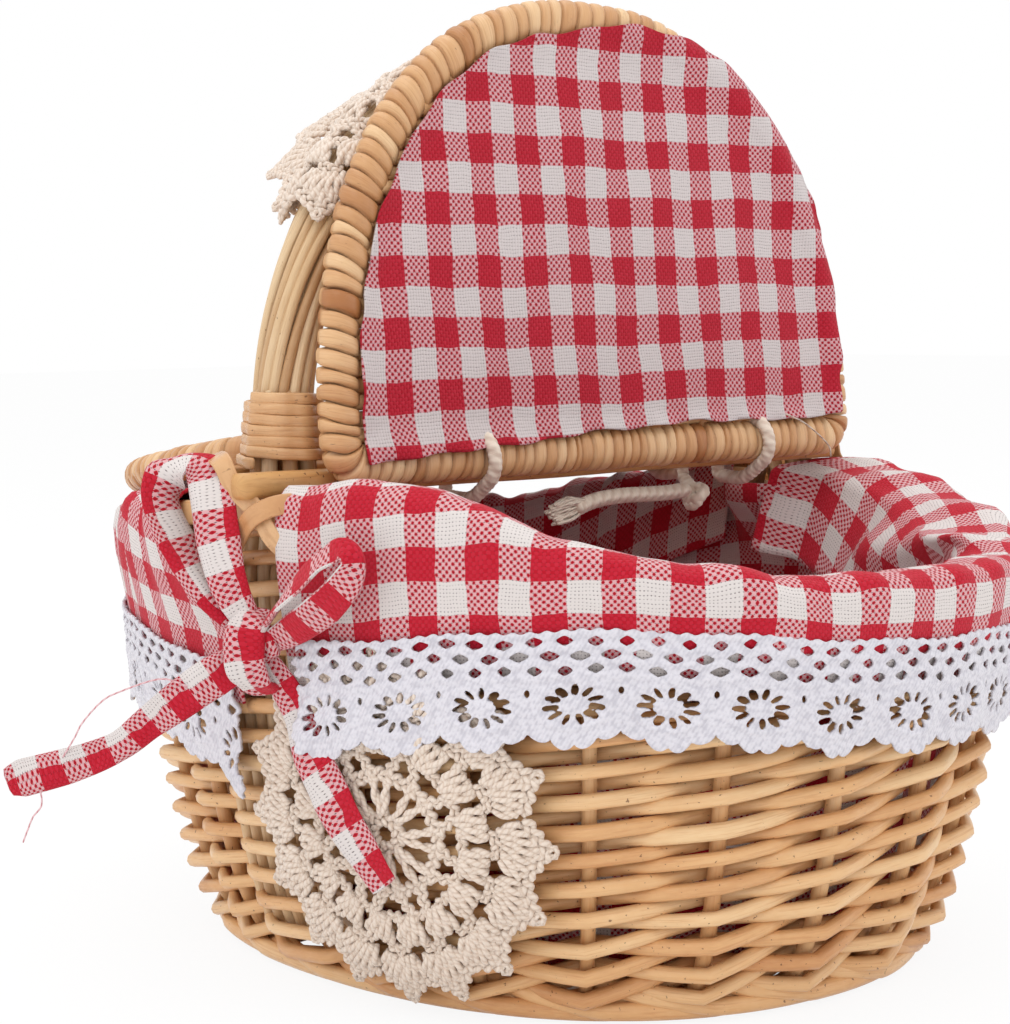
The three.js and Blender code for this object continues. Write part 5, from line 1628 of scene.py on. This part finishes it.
def doily(place, scallops, radius):
    # rounds from the middle out: a ring, long spokes with chain arches, clusters, arches and pointed fans
    bag = Bag()
    scale = radius / crochet["radius"]

    def at(r, turn, lift):
        return np.array([r * scale * math.cos(turn), r * scale * math.sin(turn), lift])

    def ring(r, count, wave):
        turn = np.linspace(0, 2 * np.pi, count)
        r = r * scale * (1 + wave * np.cos(turn * 8))
        return np.stack([r * np.cos(turn), r * np.sin(turn), 0 * turn], 1)

    def stitch(a, b, lift, thickness):
        yarn(bag, [a, (a + b) / 2 + (0, 0, lift), b], thickness, place)

    chain(bag, ring(4.2, 30, 0.0), 3.0, 2.6, place, 1.0)
    for turn in np.arange(scallops // 2) / (scallops // 2) * 2 * np.pi:
        for lean in (-0.16, 0.16):
            stitch(at(5.5, turn + lean * 0.5, 0.2), at(15.0, turn + lean, 0.2), 0.5, 1.1)
        for lean in (-0.28, 0.28):
            arch = [at(15.5, turn + lean * 0.4, 0.3), at(20, turn + lean * 0.9, 0.3), at(23.5, turn + lean, 0.3)]
            chain(bag, arch, 2.4, 2.5, place, 0.85)
    chain(bag, ring(15.6, 60, 0.02), 2.8, 2.6, place, 0.95)
    half = np.pi / scallops
    for turn in np.arange(scallops) / scallops * 2 * np.pi:
        # cluster: four fat stitches drawn together at the bottom
        for lean in (-0.6, -0.2, 0.2, 0.6):
            middle = at(26.3, turn + half + lean * 0.2, 1.2 - abs(lean) * 0.4)
            a, b = at(22.3, turn + half + lean * 0.09, 0.3), at(30.2, turn + half + lean * 0.2, 0.3)
            yarn(bag, [a, middle, b], 1.25, place)
        for r, top, lean, lift, width in ((30.5, 32.6, 0.11, 0.2, 2.5), (23.5, 22.6, 0.16, 0.1, 2.4)):
            arch = [at(r, turn - lean, lift), at(top, turn, lift), at(r, turn + lean, lift)]
            chain(bag, arch, width, 2.4, place, 0.85)
    for turn in np.arange(scallops) / scallops * 2 * np.pi:
        # fan: seven stitches from the arch, longer in the middle, with a picot at the tip
        wobble = rng.uniform(-0.02, 0.02)
        edge = []
        for step in np.linspace(-1, 1, 7):
            a = at(34.2 - 0.9 * abs(step), turn + step * half * 0.62, 0.3)
            reach = 43.6 - 4.6 * abs(step) ** 1.3
            stitch(a, at(reach, turn + step * half * 0.92 + wobble, 0.5), 0.7, 1.2)
            edge.append(at(reach + 1.0, turn + step * half * 0.95 + wobble, 0.4))
        edge[3] = at(45.6, turn + wobble, 0.4)
        chain(bag, edge[:4], 2.9, 3.2, place, 1.08)
        chain(bag, edge[3:], 2.9, 3.2, place, 1.08)
        around = np.linspace(0, 2 * np.pi, 9)
        loop = 1.3 * np.stack([np.cos(around), np.sin(around), 0 * around], 1)
        yarn(bag, at(47.0, turn + wobble, 0.6) + loop, 0.9, place)
    return bag


def onWallDoily(x, y, lift):
    b0, height = wallDoily["bearing"], wallDoily["height"]
    arc = np.linalg.norm(wall(b0 + 0.01, height) - wall(b0, height)) / 0.01
    return onWall(b0 + x / arc, heightAt(climbAt(height) + y * 1.02), wallDoily["lift"] + lift)


def onHandleDoily(x, y, lift):
    # x round the handle, y along its arch; past the handle's side the cloth hangs straight down
    sweep = handleDoily["middle"] + y * handleDoily["turnPerLength"]
    outward = archOutward(sweep)
    radius = handle["ringTop"] + handle["radius"] + handleDoily["gap"] + lift
    turn = np.clip(x / radius, -1.45, 1.45)
    spare = x - turn * radius
    hang = np.abs(spare)[:, None]
    points = archPoint(sweep) + outward * (radius * np.cos(turn))[:, None]
    points[:, 1] += radius * np.sin(turn) * np.where(turn < 0, 0.84, 1)
    points[:, 1] += np.where(spare > 0, 0.95, -0.01) * hang[:, 0]
    rear = outward * 0.4 - (0.1 + 0.012 * hang) * (0, 0, 1)
    return points + np.where(spare[:, None] > 0, rear, outward * -0.55 - (0, 0, 0.8)) * hang


def parted(bag, test):
    # the bag's strands in two bags, by a test on each strand's points
    parts = Bag(), Bag()
    start = 0
    for points, faces, places, tones in zip(bag.points, bag.faces, bag.places, bag.tones):
        parts[int(test(points))].add(points, [faces - start], [places], tones)
        start += len(points)
    return parts


def behindHandle(points):
    return points[:, 1].max() > 12.4 and points[:, 1].mean() > 9.5


made = doily(onWallDoily, crochet["scallops"], crochet["radius"])
piece("wallDoily", made, doilyYarn, ["doily_wall"], "doily_cotton")
made = doily(onHandleDoily, handleDoily["scallops"], handleDoily["radius"])
crown, flap = parted(made, behindHandle)
piece("handleDoily", crown, doilyYarn, ["doily_handle"], "doily_cotton")
flapPiece = piece("handleDoilyFlap", flap, doilyYarn, slot="doily_cotton")
# the open rear lid presses the hanging part against the handle
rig.squash(flapPiece, "rear_lid_hinge", axis=(0, 1, 0), anchor=(0, 0.0098, 0), keep=0.06)


# Cords: a soft loop at each hinge, and the knotted cord with its frayed tail

print("stage: cords")
cord = {
    "radius": 2.15, "sides": 20, "step": 0.42, "strand": 3.4, "tone": 0.4, "knotAt": 44,
    "hinges": {"near": -49, "far": 60}, "frayStrands": 44,
    "tail": [
        (39.6, -14.6, 128.9), (35, -15, 128.6), (30, -15.6, 128.5), (24, -16.3, 128.6), (18, -17, 128.8),
        (12, -17.6, 129), (6, -18.1, 128.9), (0, -18.5, 128.5), (-5, -18.8, 127.6), (-9, -19, 126.4),
    ],
}


def braid(bag, line, radius, across=None, loop=False, depth=0.16):
    # a braided cord: two sets of strands that wind against each other and show as small bulges
    line = np.asarray(line, float)
    length = lengths(np.append(line, line[:1], 0) if loop else line)[-1]
    line = smoothLine(line, int(length / cord["step"]), closed=loop)
    strands = round(length / cord["strand"]) if loop else length / cord["strand"]
    phase = np.linspace(0, strands * 2 * np.pi, len(line), endpoint=not loop)[:, None]
    turn = np.arange(cord["sides"]) / cord["sides"] * 2 * np.pi
    lift = np.cos(2 * turn + phase) * np.cos(2 * turn - phase)
    around = radius * (1 - depth * 0.4 + depth * np.sqrt(np.abs(lift)) * np.sign(lift) * 0.8)
    bag.sweep(line, np.stack([around * np.cos(turn), around * np.sin(turn)], -1), across, cord["tone"], loop)


def hingeLoop(x, axisY, axisZ):
    # round the lid's frame and round the cross rod beside it
    reach = lid["radius"] + 0.3 + cord["radius"]
    back = crossRod["outer"] - crossRod["width"]
    clear = 0.4 + cord["radius"]
    corner = clear * math.sqrt(0.5) + 0.3
    foot, top = crossRod["foot"], crossRod["top"]
    turn = np.radians(np.linspace(40, 244, 8))
    outline = [*zip(abs(axisY) - reach * np.cos(turn), axisZ + reach * np.sin(turn))]
    outline += [
        (crossRod["outer"] + 1.3, foot - clear + 0.1), (back + 0.6, foot - clear), (back - corner, foot - corner),
        (back - clear, foot + 0.6), (back - clear, top - 1.6), (back - corner + 0.6, top + corner - 0.4),
        (back + 3, top + clear + 0.2),
    ]
    bag = Bag()
    braid(bag, [(x, math.copysign(y, axisY), z) for y, z in outline], cord["radius"] * 0.97, (1, 0, 0), True, 0.1)
    return bag


for side in ("front", "rear"):
    for spot, x in cord["hinges"].items():
        made = hingeLoop(x, *lidPlaces[side + "_lid"]["axis"])
        name = f"hingeCord{side.title()}{spot.title()}"
        piece(name, made, cordYarn, [f"hinge_cord_{side}_{spot}"], "cotton_cord")


def cordKnot():
    # over the front cross rod and down behind it, with two turns drawn tight below
    bag = Bag()
    r, x = cord["radius"], cord["knotAt"]
    y = -(crossRod["outer"] - crossRod["width"] / 2)
    clear = 0.5 + r
    back = y + crossRod["width"] / 2 + clear
    top, foot = crossRod["top"], crossRod["foot"]
    braid(bag, [
        (x + 1, y - 0.6, top + clear), (x + 1, y + 3, top + clear), (x + 1, back - 0.4, top + 1.6),
        (x + 1, back, top - 1.5), (x + 1, back, foot + 0.5), (x + 0.5, back - 1, foot - 2.6),
        (x, y + 1, foot - 5.5), (x, y, foot - 8.5),
    ], r * 0.92)
    z = foot - 7.4
    turn = np.linspace(0, 2 * np.pi, 15)[:-1]
    c, s = np.cos(turn), np.sin(turn)
    braid(bag, np.stack([x + 1.875 * c, y + 2.9 * s, z + 1.6 * c + 0.4], 1), r * 0.9, loop=True)
    braid(bag, np.stack([x - 0.4 + 1.2 * s, y + 2.5 * c, z - 0.4 + 2.6 * s], 1), r * 0.82, loop=True)
    return bag


def cordFray(line):
    # strands that leave the braid's end and spread flat
    bag = Bag()
    for spread in np.linspace(-1, 1, cord["frayStrands"]):
        start = line[-5] + (0, rng.uniform(-0.9, 0.9), 1.3 * spread)
        reach = -10.5 + 2.5 * abs(spread) + rng.uniform(-1.8, 1.2)
        tip = line[-1] + (reach, rng.uniform(-1, 1), 3.0 * spread - 1.0)
        middle = (start + tip) / 2 + (0, rng.uniform(-0.9, 0.9), 1.1 * spread)
        bag.tube(smoothLine([start, middle, tip], 10), 0.46, 5, rng.uniform(0.1, 0.5))
    return bag


piece("cordKnot", cordKnot(), cordYarn, ["cord_knot"], "cotton_cord")
tailBag = Bag()
tailLine = smoothLine(cord["tail"], 60)
braid(tailBag, tailLine, cord["radius"] * 1.04)
tail = piece("cordTail", tailBag, cordYarn, ["cord_tail"], "cotton_cord")
fray = piece("cordFray", cordFray(tailLine), cordYarn, slot="cotton_cord")
tailPath = [tuple(c * mm for c in point) for point in cord["tail"]]
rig.cord(
    tail, exit=tailPath[0], length=0.0493, diameter=0.0043, far_end="bare", stiffness="medium", lay="loose",
    path=tailPath, with_pieces=[fray],
)


# Floor: pale, keeps the shadow, reads white to the camera

print("stage: floor")
bpy.ops.object.select_all(action="DESELECT")
bpy.ops.mesh.primitive_plane_add(size=12, location=(0, 0, -0.0004))
floor = bpy.context.object
floor.name = "floor"
paper = Paint("paleFloor", Base_Color=(0.93, 0.93, 0.93, 1), Roughness=0.9)
glow = paper.node("Emission", inputs={"Color": (1, 1, 1, 1), "Strength": 1.0})
rays = paper.node("LightPath")
glossy = Signal(paper, rays.socket.node.outputs["Is Glossy Ray"])
share = (rays + glossy) * 0.9
both = paper.node("MixShader", inputs={0: share, 1: Signal(paper, paper.shader.outputs[0]), 2: glow})
paper.tree.links.new(both.socket, paper.tree.nodes["Material Output"].inputs[0])
floor.data.materials.append(paper.material)
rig.stage(floor)

world = bpy.data.worlds.new("studio")
scene.world = world
world.use_nodes = True
sky = world.node_tree
skyLight = sky.nodes["Background"]
white = sky.nodes.new("ShaderNodeBackground")
for shade, strength in ((skyLight, 0.9), (white, 1.0)):
    shade.inputs["Color"].default_value = (1, 1, 1, 1)
    shade.inputs["Strength"].default_value = strength
path = sky.nodes.new("ShaderNodeLightPath")
either = sky.nodes.new("ShaderNodeMixShader")
sky.links.new(path.outputs["Is Camera Ray"], either.inputs[0])
sky.links.new(skyLight.outputs[0], either.inputs[1])
sky.links.new(white.outputs[0], either.inputs[2])
sky.links.new(either.outputs[0], sky.nodes["World Output"].inputs["Surface"])

json.dump({"cad": [list(map(float, p)) for p in cadBox], "visual": [list(map(float, p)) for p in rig.bounds()]},
          open("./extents.json", "w"))
